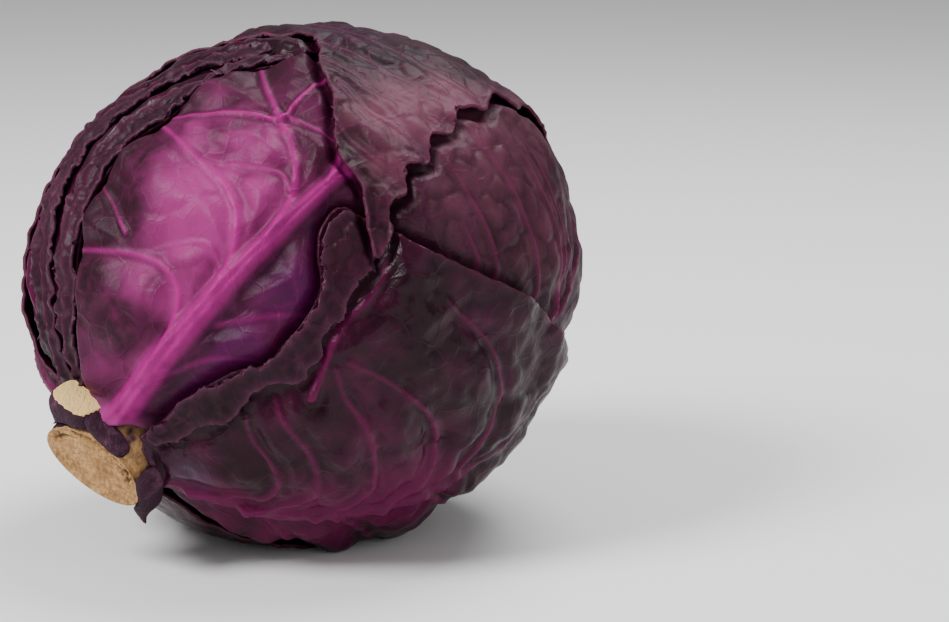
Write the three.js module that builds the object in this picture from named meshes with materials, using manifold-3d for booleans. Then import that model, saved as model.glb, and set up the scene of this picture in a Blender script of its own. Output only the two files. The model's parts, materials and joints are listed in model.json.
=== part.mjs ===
// Red cabbage: a whole head lying on its side, with its cut stalk.
// Millimetres, +Z up. The origin is the bottom centre of the bounding box.
import * as THREE from 'three';
import { mergeVertices } from 'three/addons/utils/BufferGeometryUtils.js';
import Module from 'manifold-3d';

const wasm = await Module();
wasm.setup();

// ---- driving dimensions ---------------------------------------------------
const HEAD_HALF_LENGTH = 87;   // centre to crown, along the stalk's line
const HEAD_HALF_WIDTH = 83;    // centre to side, across the stalk's line
const SWELLINGS = [            // where the head is fuller or flatter: azimuth, pole angle, height
  { at: [-40, 52], height: 4, spread: 35 },
  { at: [75, 135], height: 5.5, spread: 35 },
  { at: [0, 86], height: -2.5, spread: 30 },
];
const HEAD_TURN = 43.5;        // the line from stalk to crown, turned from +X towards +Y, degrees
const HEAD_RISE = 25.5;        // and raised above the level, degrees
const FLAT_RADIUS = 27;        // the resting spot, pressed flat

const WRAPPER_THICKNESS = 1.9;
const WRAPPER_PITCH = 2.7;     // from one wrapper's face to the next one's
const HEAD_LEAF_THICKNESS = 2.6;
const HEAD_LEAF_PITCH = 4;
const HEAD_LEAF_COUNT = 16;
const LEAF_TURN = 137.5;       // each leaf grows this far round from the last, degrees
const FADE = [1, 0.4];         // how far a leaf presses down those beneath, by rings of the net
const WRAPPER_DETAIL = 5;      // how finely the wrappers' net is divided
const INNER_DETAIL = 2;        // and the inner leaves' net
const STEPS_PER_CORNER = 6;    // points on a margin's curve between two of its corners
const MERGE_WITHIN = 1e-4;     // points this near are one point

const FIT_GAP = 0.4;           // clearance round the stalk
const SOCKET_LENGTH = 20;      // how far the room for the stalk is cut past the stalk's end
const STALK_SIDES = 28;
const STALK_RINGS = [          // z below the head's centre, half height, half width, centre x and y
  { z: -30, height: 4, width: 4, x: 0, y: 0 },
  { z: -48, height: 9, width: 9, x: 0, y: 0 },
  { z: -66, height: 13.5, width: 14, x: 0, y: 0 },
  { z: -82, height: 16, width: 17, x: -1, y: 0.5 },
  { z: -90, height: 15.5, width: 18, x: -2, y: 1 },
  { z: -98, height: 14, width: 18.5, x: -3, y: 1.5 },
];
const STALK_FLATTENED = 0.8;   // the stalk's lower side is flatter than a round one
const STALK_TURN = 37;         // how far the flatter side is turned about the head's line
const CUT_SLOPE = 0.17;        // the stalk's cut is out of square by this much across its width

// ---- directions on the head -----------------------------------------------
// The head's own frame has +Z from the stalk to the crown and +X on its upper side.
// A place on it is an azimuth about that line and an angle from the stalk's pole.
const radians = THREE.MathUtils.degToRad;

function direction([azimuth, poleAngle]) {
  const a = radians(azimuth);
  const p = radians(poleAngle);
  return new THREE.Vector3(Math.sin(p) * Math.cos(a), Math.sin(p) * Math.sin(a), -Math.cos(p));
}

const crownLine = new THREE.Vector3(
  Math.cos(radians(HEAD_TURN)) * Math.cos(radians(HEAD_RISE)),
  Math.sin(radians(HEAD_TURN)) * Math.cos(radians(HEAD_RISE)),
  Math.sin(radians(HEAD_RISE)),
);
const sideLine = new THREE.Vector3(0, 0, 1).cross(crownLine).negate().normalize();
const upperLine = new THREE.Vector3().crossVectors(sideLine, crownLine);
const headToWorld = new THREE.Matrix4().makeBasis(upperLine, sideLine, crownLine);
const down = new THREE.Vector3(0, 0, -1).transformDirection(headToWorld.clone().transpose());

function freeRadius(n) {
  const across = (n.x * n.x + n.y * n.y) / HEAD_HALF_WIDTH ** 2;
  let radius = 1 / Math.sqrt(across + (n.z / HEAD_HALF_LENGTH) ** 2);
  for (const { at, height, spread } of SWELLINGS) {
    const away = THREE.MathUtils.radToDeg(n.angleTo(direction(at)));
    radius += height * Math.exp(-((away / spread) ** 2));
  }
  return radius;
}

const lowest = freeRadius(down);
const restHeight = Math.sqrt(lowest ** 2 - FLAT_RADIUS ** 2);

function headRadius(n) {
  const facing = n.dot(down);
  const radius = freeRadius(n);
  return facing > 0 ? Math.min(radius, restHeight / facing) : radius;
}

// ---- the net that every leaf of a layer shares -----------------------------
// Leaves that share one net of directions keep their spacing between its points too.
// A corner of the icosahedron points straight down, so that the resting spot is even all round.
const ICOSAHEDRON_CORNER = new THREE.Vector3(-1, (1 + Math.sqrt(5)) / 2, 0).normalize();

function makeNet(detail) {
  const ball = new THREE.IcosahedronGeometry(1, detail);
  ball.deleteAttribute('normal');
  ball.deleteAttribute('uv');
  const merged = mergeVertices(ball, MERGE_WITHIN);
  const place = merged.attributes.position;
  const turn = new THREE.Quaternion().setFromUnitVectors(ICOSAHEDRON_CORNER, down);
  const points = [];
  for (let i = 0; i < place.count; i += 1) {
    points.push(new THREE.Vector3().fromBufferAttribute(place, i).normalize().applyQuaternion(turn));
  }
  const faces = [];
  const around = points.map(() => new Set());
  for (let i = 0; i < merged.index.count; i += 3) {
    const face = [0, 1, 2].map((k) => merged.index.getX(i + k));
    faces.push(face);
    for (const corner of face) {
      face.forEach((other) => around[corner].add(other));
    }
  }
  return { points, faces, around };
}

// ---- leaf outlines ---------------------------------------------------------
// A leaf's plane holds places at their true angle and bearing from the leaf's middle.
function leafPlane(middle) {
  const centre = direction(middle);
  const toPole = new THREE.Vector3(0, 0, -1).addScaledVector(centre, centre.z).normalize();
  const across = new THREE.Vector3().crossVectors(toPole, centre);
  return (n) => {
    const away = THREE.MathUtils.radToDeg(n.angleTo(centre));
    const bearing = Math.atan2(n.dot(across), n.dot(toPole));
    return new THREE.Vector2(away * Math.cos(bearing), away * Math.sin(bearing));
  };
}

function smoothOutline(corners) {
  const path = corners.map((p) => new THREE.Vector3(p.x, p.y, 0));
  const steps = corners.length * STEPS_PER_CORNER;
  return new THREE.CatmullRomCurve3(path, true, 'centripetal').getPoints(steps).slice(0, steps);
}

function insideBy(p, outline) {
  let nearest = Infinity;
  let inside = false;
  outline.forEach((a, i) => {
    const b = outline[(i + 1) % outline.length];
    const along = new THREE.Vector2(b.x - a.x, b.y - a.y);
    const offset = new THREE.Vector2(p.x - a.x, p.y - a.y);
    const share = THREE.MathUtils.clamp(offset.dot(along) / along.lengthSq(), 0, 1);
    nearest = Math.min(nearest, offset.addScaledVector(along, -share).length());
    const crosses = (a.y > p.y) !== (b.y > p.y);
    if (crosses && p.x < a.x + (b.x - a.x) * (p.y - a.y) / (b.y - a.y)) inside = !inside;
  });
  return inside ? nearest : -nearest;
}

function marginDistances(net, middle, corners) {
  const toPlane = leafPlane(middle);
  const outline = smoothOutline(corners.map((place) => toPlane(direction(place))));
  return net.points.map((n) => insideBy(toPlane(n), outline));
}

// ---- leaf solids -----------------------------------------------------------
const EDGE_SHARE = 0.12;       // a margin keeps at least this share of a net edge, so no face is a sliver

function geometryOf(vertices, triangles) {
  const geometry = new THREE.BufferGeometry();
  const numbers = vertices.flatMap((v) => v.toArray());
  geometry.setAttribute('position', new THREE.Float32BufferAttribute(numbers, 3));
  geometry.setIndex(triangles.flat());
  return geometry;
}

// The part of the net inside a margin, given an outer and an inner face and a wall between them.
function shell(net, distances, outerRadius, thickness) {
  const corners = new Map();
  const outer = [];
  const inner = [];
  const onFace = (i, radius) => net.points[i].clone().multiplyScalar(radius);
  const cornerAt = (a, b) => {
    const key = a < b ? `${a}_${b}` : `${b}_${a}`;
    if (!corners.has(key)) {
      const [from, to] = a < b ? [a, b] : [b, a];
      let share = from === to ? 0 : distances[from] / (distances[from] - distances[to]);
      if (from !== to) share = THREE.MathUtils.clamp(share, EDGE_SHARE, 1 - EDGE_SHARE);
      corners.set(key, outer.length);
      outer.push(onFace(from, outerRadius[from]).lerp(onFace(to, outerRadius[to]), share));
      const [below, belowTo] = [from, to].map((i) => onFace(i, outerRadius[i] - thickness));
      inner.push(below.lerp(belowTo, share));
    }
    return corners.get(key);
  };
  const polygons = [];
  for (const face of net.faces) {
    const polygon = [];
    face.forEach((a, k) => {
      const b = face[(k + 1) % 3];
      if (distances[a] > 0) polygon.push(cornerAt(a, a));
      if ((distances[a] > 0) !== (distances[b] > 0)) polygon.push(cornerAt(a, b));
    });
    if (polygon.length) polygons.push(polygon);
  }
  const edges = new Set(polygons.flatMap((polygon) => (
    polygon.map((u, k) => `${u}_${polygon[(k + 1) % polygon.length]}`)
  )));
  const triangles = [];
  const lift = outer.length;
  for (const polygon of polygons) {
    for (let k = 1; k + 1 < polygon.length; k += 1) {
      const [u, v, w] = [polygon[0], polygon[k], polygon[k + 1]];
      triangles.push([u, v, w], [u + lift, w + lift, v + lift]);
    }
    polygon.forEach((u, k) => {
      const v = polygon[(k + 1) % polygon.length];
      if (edges.has(`${v}_${u}`)) return;
      triangles.push([v, u, u + lift], [v, u + lift, v + lift]);
    });
  }
  return geometryOf([...outer, ...inner], triangles);
}

// How far each point of the net is pressed down by a leaf over it, from 1 beneath to 0 well clear.
function pressedBy(net, distances) {
  const ring = net.points.map(() => FADE.length);
  for (const face of net.faces) {
    if (face.some((i) => distances[i] > 0)) face.forEach((i) => { ring[i] = 0; });
  }
  for (let step = 0; step + 1 < FADE.length; step += 1) {
    net.around.forEach((others, i) => {
      if (ring[i] !== step) return;
      others.forEach((other) => { ring[other] = Math.min(ring[other], step + 1); });
    });
  }
  return ring.map((step) => FADE[step] ?? 0);
}

// ---- joins and cuts --------------------------------------------------------
function toSolid(geometry) {
  const plain = geometry.clone();
  plain.deleteAttribute('normal');
  plain.deleteAttribute('uv');
  const merged = mergeVertices(plain, MERGE_WITHIN);
  return new wasm.Manifold(new wasm.Mesh({
    numProp: 3,
    vertProperties: Float32Array.from(merged.attributes.position.array),
    triVerts: Uint32Array.from(merged.index.array),
  }));
}

function toGeometry(solid) {
  const mesh = solid.getMesh();
  const geometry = new THREE.BufferGeometry();
  geometry.setAttribute('position', new THREE.BufferAttribute(Float32Array.from(mesh.vertProperties), 3));
  geometry.setIndex([...mesh.triVerts]);
  return geometry;
}

// ---- stalk -----------------------------------------------------------------
function stalkGeometry(clearance, endBeyond) {
  const vertices = [];
  const rings = STALK_RINGS.map((ring) => ({ ...ring }));
  const aslant = radians(STALK_TURN);
  if (endBeyond) rings.push({ ...rings.at(-1), z: rings.at(-1).z - endBeyond });
  rings.forEach((ring, level) => {
    const slope = level < STALK_RINGS.length - 1 ? 0 : CUT_SLOPE;
    for (let k = 0; k < STALK_SIDES; k += 1) {
      const turn = (2 * Math.PI * k) / STALK_SIDES;
      const lower = Math.cos(turn) < 0 ? STALK_FLATTENED : 1;
      const short = (ring.height * lower + clearance) * Math.cos(turn);
      const long = (ring.width + clearance) * Math.sin(turn);
      const x = ring.x + short * Math.cos(aslant) - long * Math.sin(aslant);
      const y = ring.y + short * Math.sin(aslant) + long * Math.cos(aslant);
      vertices.push(new THREE.Vector3(x, y, ring.z + slope * y));
    }
  });
  const top = vertices.length;
  vertices.push(new THREE.Vector3(0, 0, rings[0].z + clearance));
  const last = rings.at(-1);
  vertices.push(new THREE.Vector3(last.x, last.y, last.z + CUT_SLOPE * last.y));
  const triangles = [];
  for (let k = 0; k < STALK_SIDES; k += 1) {
    const next = (k + 1) % STALK_SIDES;
    triangles.push([top, k, next]);
    for (let level = 0; level + 1 < rings.length; level += 1) {
      const here = level * STALK_SIDES;
      const below = here + STALK_SIDES;
      triangles.push([here + k, below + k, below + next], [here + k, below + next, here + next]);
    }
    const end = (rings.length - 1) * STALK_SIDES;
    triangles.push([top + 1, end + next, end + k]);
  }
  return geometryOf(vertices, triangles);
}

// ---- materials and assembly ------------------------------------------------
const head = new THREE.Group();
head.setRotationFromMatrix(headToWorld);

function addPiece(name, geometry, colour, roughness) {
  const material = new THREE.MeshStandardMaterial({ color: colour, roughness, metalness: 0 });
  const mesh = new THREE.Mesh(geometry, material);
  mesh.name = name;
  head.add(mesh);
}

const DARK_PLUM = 0x3a1228;
const DUSTY_MAUVE = 0x5c3048;
const BRIGHT_MAGENTA = 0x9a2a7c;
const INNER_PURPLE = 0x6b2a6a;
const CUT_TAN = 0xb48a58;
const STUB_PURPLE = 0x54304a;
const HEART_PINK = 0x8a4a86;
const LEAF_ROUGHNESS = 0.4;
const STUB_ROUGHNESS = 0.6;
const STALK_ROUGHNESS = 0.8;
const STUB_DETAIL = 2;

const socket = toSolid(stalkGeometry(FIT_GAP, SOCKET_LENGTH));

// The wrapper leaves, outermost first: margin places as azimuth and pole angle, in order round the leaf.
const WRAPPERS = [
  {
    name: 'crown_leaf', colour: DUSTY_MAUVE, middle: [-40, 110],
    margin: [
      [9, 111], [22, 101], [37, 89], [47, 84], [64, 77], [56, 91], [53, 104], [50, 116],
      [52, 130], [63, 145], [110, 152], [150, 150], [190, 140], [220, 120], [235, 95],
      [240, 60], [245, 30], [255, 6], [300, 6], [305, 30], [310, 50], [318, 70], [332, 90],
      [350, 104],
    ],
  },
  {
    name: 'underside_leaf', colour: DARK_PLUM, middle: [213, 62],
    margin: [
      [157, 20], [157, 35], [158, 52], [161, 78], [172, 98], [190, 112], [215, 118],
      [245, 112], [265, 95], [272, 70], [272, 45], [268, 22], [255, 5], [170, 5],
    ],
  },
  {
    name: 'lower_right_leaf', colour: DARK_PLUM, middle: [130, 62],
    margin: [
      [73, 17], [67, 30], [69, 44], [66, 56], [57, 67], [51, 77], [66, 84], [78, 92],
      [98, 106], [130, 116], [165, 112], [190, 95], [200, 75], [200, 50], [195, 28],
      [180, 5], [85, 5],
    ],
  },
  {
    name: 'left_leaf', colour: DARK_PLUM, middle: [-65, 62],
    margin: [
      [-15, 12], [-8, 24], [-8, 44], [-6, 62], [1, 76], [5, 91], [14, 103], [8, 116],
      [-20, 124], [-60, 120], [-95, 108], [-115, 90], [-120, 60], [-115, 30], [-100, 5],
      [-25, 5],
    ],
  },
  {
    name: 'right_crown_leaf', colour: DUSTY_MAUVE, middle: [108, 88],
    margin: [
      [92, 30], [86, 48], [78, 60], [68, 72], [60, 80], [50, 90], [44, 102], [42, 120],
      [50, 145], [90, 160], [140, 150], [165, 125], [170, 95], [165, 60], [155, 30],
      [145, 5], [100, 5],
    ],
  },
  {
    name: 'front_leaf', colour: BRIGHT_MAGENTA, middle: [40, 62],
    margin: [
      [-22, 15], [-24, 40], [-22, 65], [-15, 85], [-5, 103], [8, 120], [25, 130], [45, 132],
      [62, 122], [76, 102], [88, 80], [98, 58], [102, 35], [102, 14], [80, 5], [0, 5],
    ],
  },
  {
    name: 'back_leaf', colour: INNER_PURPLE, middle: [242, 70],
    margin: [
      [192, 14], [185, 40], [185, 70], [195, 100], [215, 125], [250, 142], [285, 132],
      [300, 102], [302, 70], [298, 40], [290, 14], [275, 5], [205, 5],
    ],
  },
  {
    name: 'top_leaf', colour: INNER_PURPLE, middle: [-10, 78],
    margin: [
      [-60, 14], [-65, 45], [-62, 85], [-50, 115], [-20, 140], [20, 150], [50, 140],
      [48, 110], [42, 80], [42, 45], [38, 14], [20, 5], [-40, 5],
    ],
  },
  {
    name: 'far_side_leaf', colour: INNER_PURPLE, middle: [180, 82],
    margin: [
      [142, 14], [138, 50], [135, 90], [140, 125], [160, 150], [190, 160], [225, 145],
      [235, 115], [225, 80], [222, 45], [215, 14], [200, 5], [155, 5],
    ],
  },
];

function addLeaf(name, colour, net, distances, surface, thickness, pitch) {
  const solid = toSolid(shell(net, distances, surface, thickness)).subtract(socket);
  addPiece(name, toGeometry(solid), colour, LEAF_ROUGHNESS);
  const pressed = pressedBy(net, distances);
  return surface.map((radius, i) => radius - pitch * pressed[i]);
}

const wrapperNet = makeNet(WRAPPER_DETAIL);
let surface = wrapperNet.points.map(headRadius);
for (const { name, colour, middle, margin } of WRAPPERS) {
  const distances = marginDistances(wrapperNet, middle, margin);
  surface = addLeaf(name, colour, wrapperNet, distances, surface, WRAPPER_THICKNESS, WRAPPER_PITCH);
}

// The tightly folded leaves inside, each a broad hood from the stalk over the crown.
const HEAD_LEAF_MIDDLE = 84;   // where a head leaf's middle lies, from the stalk's pole, degrees
const HEAD_LEAF_REACH = 78;    // and how far it spreads from there, degrees
const BORROW_ANGLE = 16;       // a point on the inner net stays under every wrapper point this near

const innerNet = makeNet(INNER_DETAIL);
let innerSurface = innerNet.points.map((n) => {
  const near = wrapperNet.points.map((m, i) => (
    THREE.MathUtils.radToDeg(n.angleTo(m)) < BORROW_ANGLE ? surface[i] : Infinity
  ));
  return Math.min(...near) - FIT_GAP;
});
for (let k = 0; k < HEAD_LEAF_COUNT; k += 1) {
  const centre = direction([k * LEAF_TURN, HEAD_LEAF_MIDDLE]);
  const distances = innerNet.points.map((n) => (
    HEAD_LEAF_REACH - THREE.MathUtils.radToDeg(n.angleTo(centre))
  ));
  const name = `head_leaf_${String(k + 1).padStart(2, '0')}`;
  innerSurface = addLeaf(
    name, INNER_PURPLE, innerNet, distances, innerSurface, HEAD_LEAF_THICKNESS, HEAD_LEAF_PITCH,
  );
}

// The heart bud: the smallest leaves, still folded into one tight mass.
const heart = innerNet.points.map((n, i) => n.clone().multiplyScalar(innerSurface[i]));
const heartSolid = toSolid(geometryOf(heart, innerNet.faces)).subtract(socket);
addPiece('heart_bud', toGeometry(heartSolid), HEART_PINK, LEAF_ROUGHNESS);

// The stalk and the core are one growth: a cone inside the head, cut off just below it.
addPiece('stalk_core', stalkGeometry(0, 0), CUT_TAN, STALK_ROUGHNESS);

// Stubs of leaf stems left on the stalk where older leaves were trimmed off.
const STUBS = [
  { name: 'upper_stem_stub', at: [12.5, -3, -90.5], size: [8.5, 8.5, 6.5], turn: 8 },
  { name: 'front_stem_stub', at: [8.5, 12, -92], size: [8, 3.2, 4.5], turn: -36 },
  { name: 'right_stem_stub', at: [-13, 16.5, -91], size: [9.5, 3.6, 5.5], turn: 34 },
];
const headEnvelope = toSolid(geometryOf(
  wrapperNet.points.map((n) => n.clone().multiplyScalar(headRadius(n) + FIT_GAP)),
  wrapperNet.faces,
));
for (const { name, at, size, turn } of STUBS) {
  const lump = new THREE.IcosahedronGeometry(1, STUB_DETAIL);
  lump.scale(...size);
  lump.rotateZ(radians(turn));
  lump.translate(...at);
  const stub = toSolid(lump).subtract(socket).subtract(headEnvelope);
  addPiece(name, toGeometry(stub), STUB_PURPLE, STUB_ROUGHNESS);
}

// Stand the head on its flat spot, centred over the origin.
const cabbage = new THREE.Group();
cabbage.add(head);
cabbage.updateMatrixWorld(true);
const box = new THREE.Box3().setFromObject(cabbage, true);
const boxCentre = box.getCenter(new THREE.Vector3());
head.position.set(-boxCentre.x, -boxCentre.y, -box.min.z);

export default cabbage;
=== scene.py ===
"""A whole red cabbage on its side: wrapper leaves, folded head leaves and a cut stalk."""
import json
import math

import bpy
import numpy as np
from bpy.props import FloatProperty, FloatVectorProperty, IntProperty, PointerProperty
from bpy.types import Operator, Panel, PropertyGroup
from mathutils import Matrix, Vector


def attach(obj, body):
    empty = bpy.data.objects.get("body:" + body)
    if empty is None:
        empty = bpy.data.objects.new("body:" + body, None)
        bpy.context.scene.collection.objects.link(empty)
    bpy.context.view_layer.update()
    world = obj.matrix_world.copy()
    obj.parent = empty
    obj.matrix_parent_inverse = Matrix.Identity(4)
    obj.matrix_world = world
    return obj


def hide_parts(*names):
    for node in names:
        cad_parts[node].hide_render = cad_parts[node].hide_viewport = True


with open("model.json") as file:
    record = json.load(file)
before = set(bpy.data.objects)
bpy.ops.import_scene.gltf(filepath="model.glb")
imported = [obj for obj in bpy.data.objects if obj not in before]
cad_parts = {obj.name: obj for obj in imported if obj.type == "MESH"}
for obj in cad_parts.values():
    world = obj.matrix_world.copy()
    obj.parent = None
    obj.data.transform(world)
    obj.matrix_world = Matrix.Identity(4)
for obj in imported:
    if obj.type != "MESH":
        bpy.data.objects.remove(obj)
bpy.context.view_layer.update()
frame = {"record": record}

bl_info = {
    "name": "Red Cabbage",
    "version": (1, 0, 0),
    "blender": (4, 5, 0),
    "location": "View3D > Sidebar > Red Cabbage",
    "description": "Builds a whole red cabbage, leaf by leaf, around its packed frame",
    "category": "Add Mesh",
}

MM = 0.001

# ---- the head's own frame ---------------------------------------------------
# Inside the head, +Z runs from the stalk to the crown and +X is its upper side. A place on it
# is an azimuth about that line and an angle from the stalk's pole, in degrees; lengths are in
# millimetres until a mesh is placed.
HEAD_HALF_LENGTH = 87.0
HEAD_HALF_WIDTH = 83.0
SWELLINGS = (((-40, 52), 4.0, 35), ((75, 135), 5.5, 35), ((0, 86), -2.5, 30))
HEAD_TURN = math.radians(43.5)
HEAD_RISE = math.radians(25.5)
FLAT_RADIUS = 27.0
SPAN = 1.5                      # millimetres to a degree round the head
LEAF_PITCH = 2.7                # from one wrapper's face to the next one's
COVER_RAMP = 6.0                # how far past a margin a leaf still presses on those beneath
STALK_RINGS = (                 # z, half height, half width, centre x, centre y
    (-30, 4, 4, 0, 0), (-48, 9, 9, 0, 0), (-66, 13.5, 14, 0, 0),
    (-82, 16, 17, -1, 0.5), (-90, 15.5, 18, -2, 1), (-98, 14, 18.5, -3, 1.5),
)
STALK_FLATTENED = 0.8
STALK_TURN = math.radians(37)    # its flattened side's turn about the head's line
CUT_SLOPE = 0.17

CROWN_LINE = np.array([
    math.cos(HEAD_TURN) * math.cos(HEAD_RISE),
    math.sin(HEAD_TURN) * math.cos(HEAD_RISE),
    math.sin(HEAD_RISE),
])
SIDE_LINE = np.cross(CROWN_LINE, (0.0, 0.0, 1.0))
SIDE_LINE /= np.linalg.norm(SIDE_LINE)
HEAD_AXES = np.array([np.cross(SIDE_LINE, CROWN_LINE), SIDE_LINE, CROWN_LINE])
DOWN = HEAD_AXES @ np.array([0.0, 0.0, -1.0])
FRONT = HEAD_AXES @ np.array([0.0, -0.978, 0.208])


def direction(azimuth, pole_angle):
    a, p = np.radians(azimuth), np.radians(pole_angle)
    return np.stack([np.sin(p) * np.cos(a), np.sin(p) * np.sin(a), -np.cos(p)], -1)


def angle_between(n, m):
    return np.degrees(np.arccos(np.clip(n @ m, -1.0, 1.0)))


def free_radius(n):
    across = (n[..., 0] ** 2 + n[..., 1] ** 2) / HEAD_HALF_WIDTH ** 2
    radius = 1.0 / np.sqrt(across + (n[..., 2] / HEAD_HALF_LENGTH) ** 2)
    for place, height, spread in SWELLINGS:
        radius = radius + height * np.exp(-(angle_between(n, direction(*place)) / spread) ** 2)
    return radius


REST_HEIGHT = math.sqrt(float(free_radius(DOWN)) ** 2 - FLAT_RADIUS ** 2)
REST_POINT = np.array(frame["record"]["mounts"][0]["pos_m"])
HEAD_CENTRE = REST_POINT + np.array([0.0, 0.0, REST_HEIGHT * MM])


def pressed_flat(n, radius, clearance=0.0):
    """Keeps a surface above the plane the head rests on, rounding in to the flat spot."""
    facing = np.maximum(n @ DOWN, 1e-3)
    limit = (REST_HEIGHT - clearance) / facing
    soft = 1.2
    share = np.clip(0.5 + (limit - radius) / (2 * soft), 0.0, 1.0)
    return limit * (1 - share) + radius * share - soft * share * (1 - share)


def to_row(points):
    """Head places in millimetres to row places in metres."""
    return points @ HEAD_AXES * MM + HEAD_CENTRE


# ---- noise ------------------------------------------------------------------
def scatter(cells, seed):
    """One fixed number from 0 to 1 for each whole-numbered cell."""
    cells = cells.astype(np.int64)
    mixed = (cells * np.array([374761393, 668265263, 974634777])[: cells.shape[-1]]).sum(-1)
    mixed = (mixed + seed * 362437 + 144269504) & 0xFFFFFFFF
    mixed = ((mixed ^ (mixed >> 13)) * 1274126177) & 0xFFFFFFFF
    mixed = ((mixed ^ (mixed >> 15)) * 668265263) & 0xFFFFFFFF
    return (mixed ^ (mixed >> 16)) / 4294967296.0


def swell(points, size, seed, octaves=2):
    """Smooth noise from -1 to 1 whose largest lumps are about size across."""
    total = np.zeros(len(points))
    weight = 0.0
    for octave in range(octaves):
        p = points / size * 2 ** octave + 17.3 * octave
        base = np.floor(p)
        f = p - base
        f = f * f * f * (f * (f * 6 - 15) + 10)
        value = np.zeros(len(points))
        for corner in np.ndindex(*(2,) * points.shape[1]):
            corner = np.array(corner)
            share = np.prod(np.where(corner, f, 1 - f), -1)
            value += share * scatter(base + corner, seed + octave)
        total += (value * 2 - 1) * 0.5 ** octave
        weight += 0.5 ** octave
    return total / weight


def cells(points, size, seed):
    """Distance to the nearest and the second nearest of scattered points, in sizes."""
    p = points / size
    base = np.floor(p)
    first = np.full(len(p), 9.0)
    second = np.full(len(p), 9.0)
    for offset in np.ndindex(3, 3):
        cell = base + np.array(offset) - 1
        spot = cell + np.stack([scatter(cell, seed), scatter(cell, seed + 7)], -1)
        away = np.linalg.norm(p - spot, axis=-1)
        second = np.minimum(second, np.maximum(first, away))
        first = np.minimum(first, away)
    return first, second


def ease(low, high, value):
    t = np.clip((value - low) / (high - low), 0.0, 1.0)
    return t * t * (3 - 2 * t)


# ---- lines on a leaf --------------------------------------------------------
class LeafPlane:
    """A leaf laid flat: places at their true bearing and distance from its middle."""

    def __init__(self, middle):
        self.centre = direction(*middle)
        pole = np.array([0.0, 0.0, -1.0])
        self.to_pole = pole - self.centre * (pole @ self.centre)
        self.to_pole /= np.linalg.norm(self.to_pole)
        self.across = np.cross(self.to_pole, self.centre)

    def flat(self, n):
        away = angle_between(n, self.centre) * SPAN
        bearing = np.arctan2(n @ self.across, n @ self.to_pole)
        return np.stack([away * np.cos(bearing), away * np.sin(bearing)], -1)

    def wrapped(self, p):
        away = np.radians(np.linalg.norm(p, axis=-1) / SPAN)[:, None]
        bearing = np.arctan2(p[:, 1], p[:, 0])[:, None]
        tangent = np.cos(bearing) * self.to_pole + np.sin(bearing) * self.across
        return np.cos(away) * self.centre + np.sin(away) * tangent

    def line(self, places, closed=False, steps=6):
        """A smooth line through places on the head, in the leaf's plane."""
        corners = self.flat(direction(*np.array(places, float).T))
        if closed:
            corners = np.concatenate([corners[-1:], corners, corners[:2]])
        else:
            first = 2 * corners[:1] - corners[1:2]
            last = 2 * corners[-1:] - corners[-2:-1]
            corners = np.concatenate([first, corners, last])
        made = []
        for a, b, c, d in zip(corners, corners[1:], corners[2:], corners[3:]):
            knots = np.cumsum([0] + [max(np.linalg.norm(v - u), 1e-6) ** 0.5
                                     for u, v in ((a, b), (b, c), (c, d))])
            t = np.linspace(knots[1], knots[2], steps, endpoint=False)[:, None]
            k = knots
            ab = (k[1] - t) / (k[1] - k[0]) * a + (t - k[0]) / (k[1] - k[0]) * b
            bc = (k[2] - t) / (k[2] - k[1]) * b + (t - k[1]) / (k[2] - k[1]) * c
            cd = (k[3] - t) / (k[3] - k[2]) * c + (t - k[2]) / (k[3] - k[2]) * d
            abc = (k[2] - t) / (k[2] - k[0]) * ab + (t - k[0]) / (k[2] - k[0]) * bc
            bcd = (k[3] - t) / (k[3] - k[1]) * bc + (t - k[1]) / (k[3] - k[1]) * cd
            made.append((k[2] - t) / (k[2] - k[1]) * abc + (t - k[1]) / (k[2] - k[1]) * bcd)
        if not closed:
            made.append(corners[-2:-1])
        return np.concatenate(made)


def near_line(p, line, closed=False):
    """Distance to a line, the nearest place on it, how far along it lies, and the side."""
    ends = np.roll(line, -1, axis=0) if closed else line[1:]
    starts = line if closed else line[:-1]
    best = np.full(len(p), 1e9)
    spot = np.zeros_like(p)
    along = np.zeros(len(p))
    side = np.zeros(len(p))
    for i, (a, b) in enumerate(zip(starts, ends)):
        step = b - a
        offset = p - a
        share = np.clip(offset @ step / max(step @ step, 1e-12), 0.0, 1.0)
        gap = offset - share[:, None] * step
        away = (gap * gap).sum(-1)
        closer = away < best
        best = np.where(closer, away, best)
        spot[closer] = (a + share[:, None] * step)[closer]
        along = np.where(closer, i + share, along)
        side = np.where(closer, np.sign(step[0] * gap[:, 1] - step[1] * gap[:, 0]), side)
    return np.sqrt(best), spot, along / len(starts), side


def inside(p, outline):
    within = np.zeros(len(p), bool)
    for a, b in zip(outline, np.roll(outline, -1, axis=0)):
        crosses = (a[1] > p[:, 1]) != (b[1] > p[:, 1])
        if crosses.any():
            at = a[0] + (b[0] - a[0]) * (p[:, 1] - a[1]) / (b[1] - a[1] + 1e-12)
            within ^= crosses & (p[:, 0] < at)
    return within


def ruffled(outline, amount, size, seed):
    """An outline with an uneven, nibbled edge."""
    if amount == 0:
        return outline
    tangent = np.roll(outline, -1, axis=0) - np.roll(outline, 1, axis=0)
    normal = np.stack([-tangent[:, 1], tangent[:, 0]], -1)
    normal /= np.maximum(np.linalg.norm(normal, axis=-1, keepdims=True), 1e-9)
    return outline + normal * (amount * swell(outline, size, seed, 3))[:, None]


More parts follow.
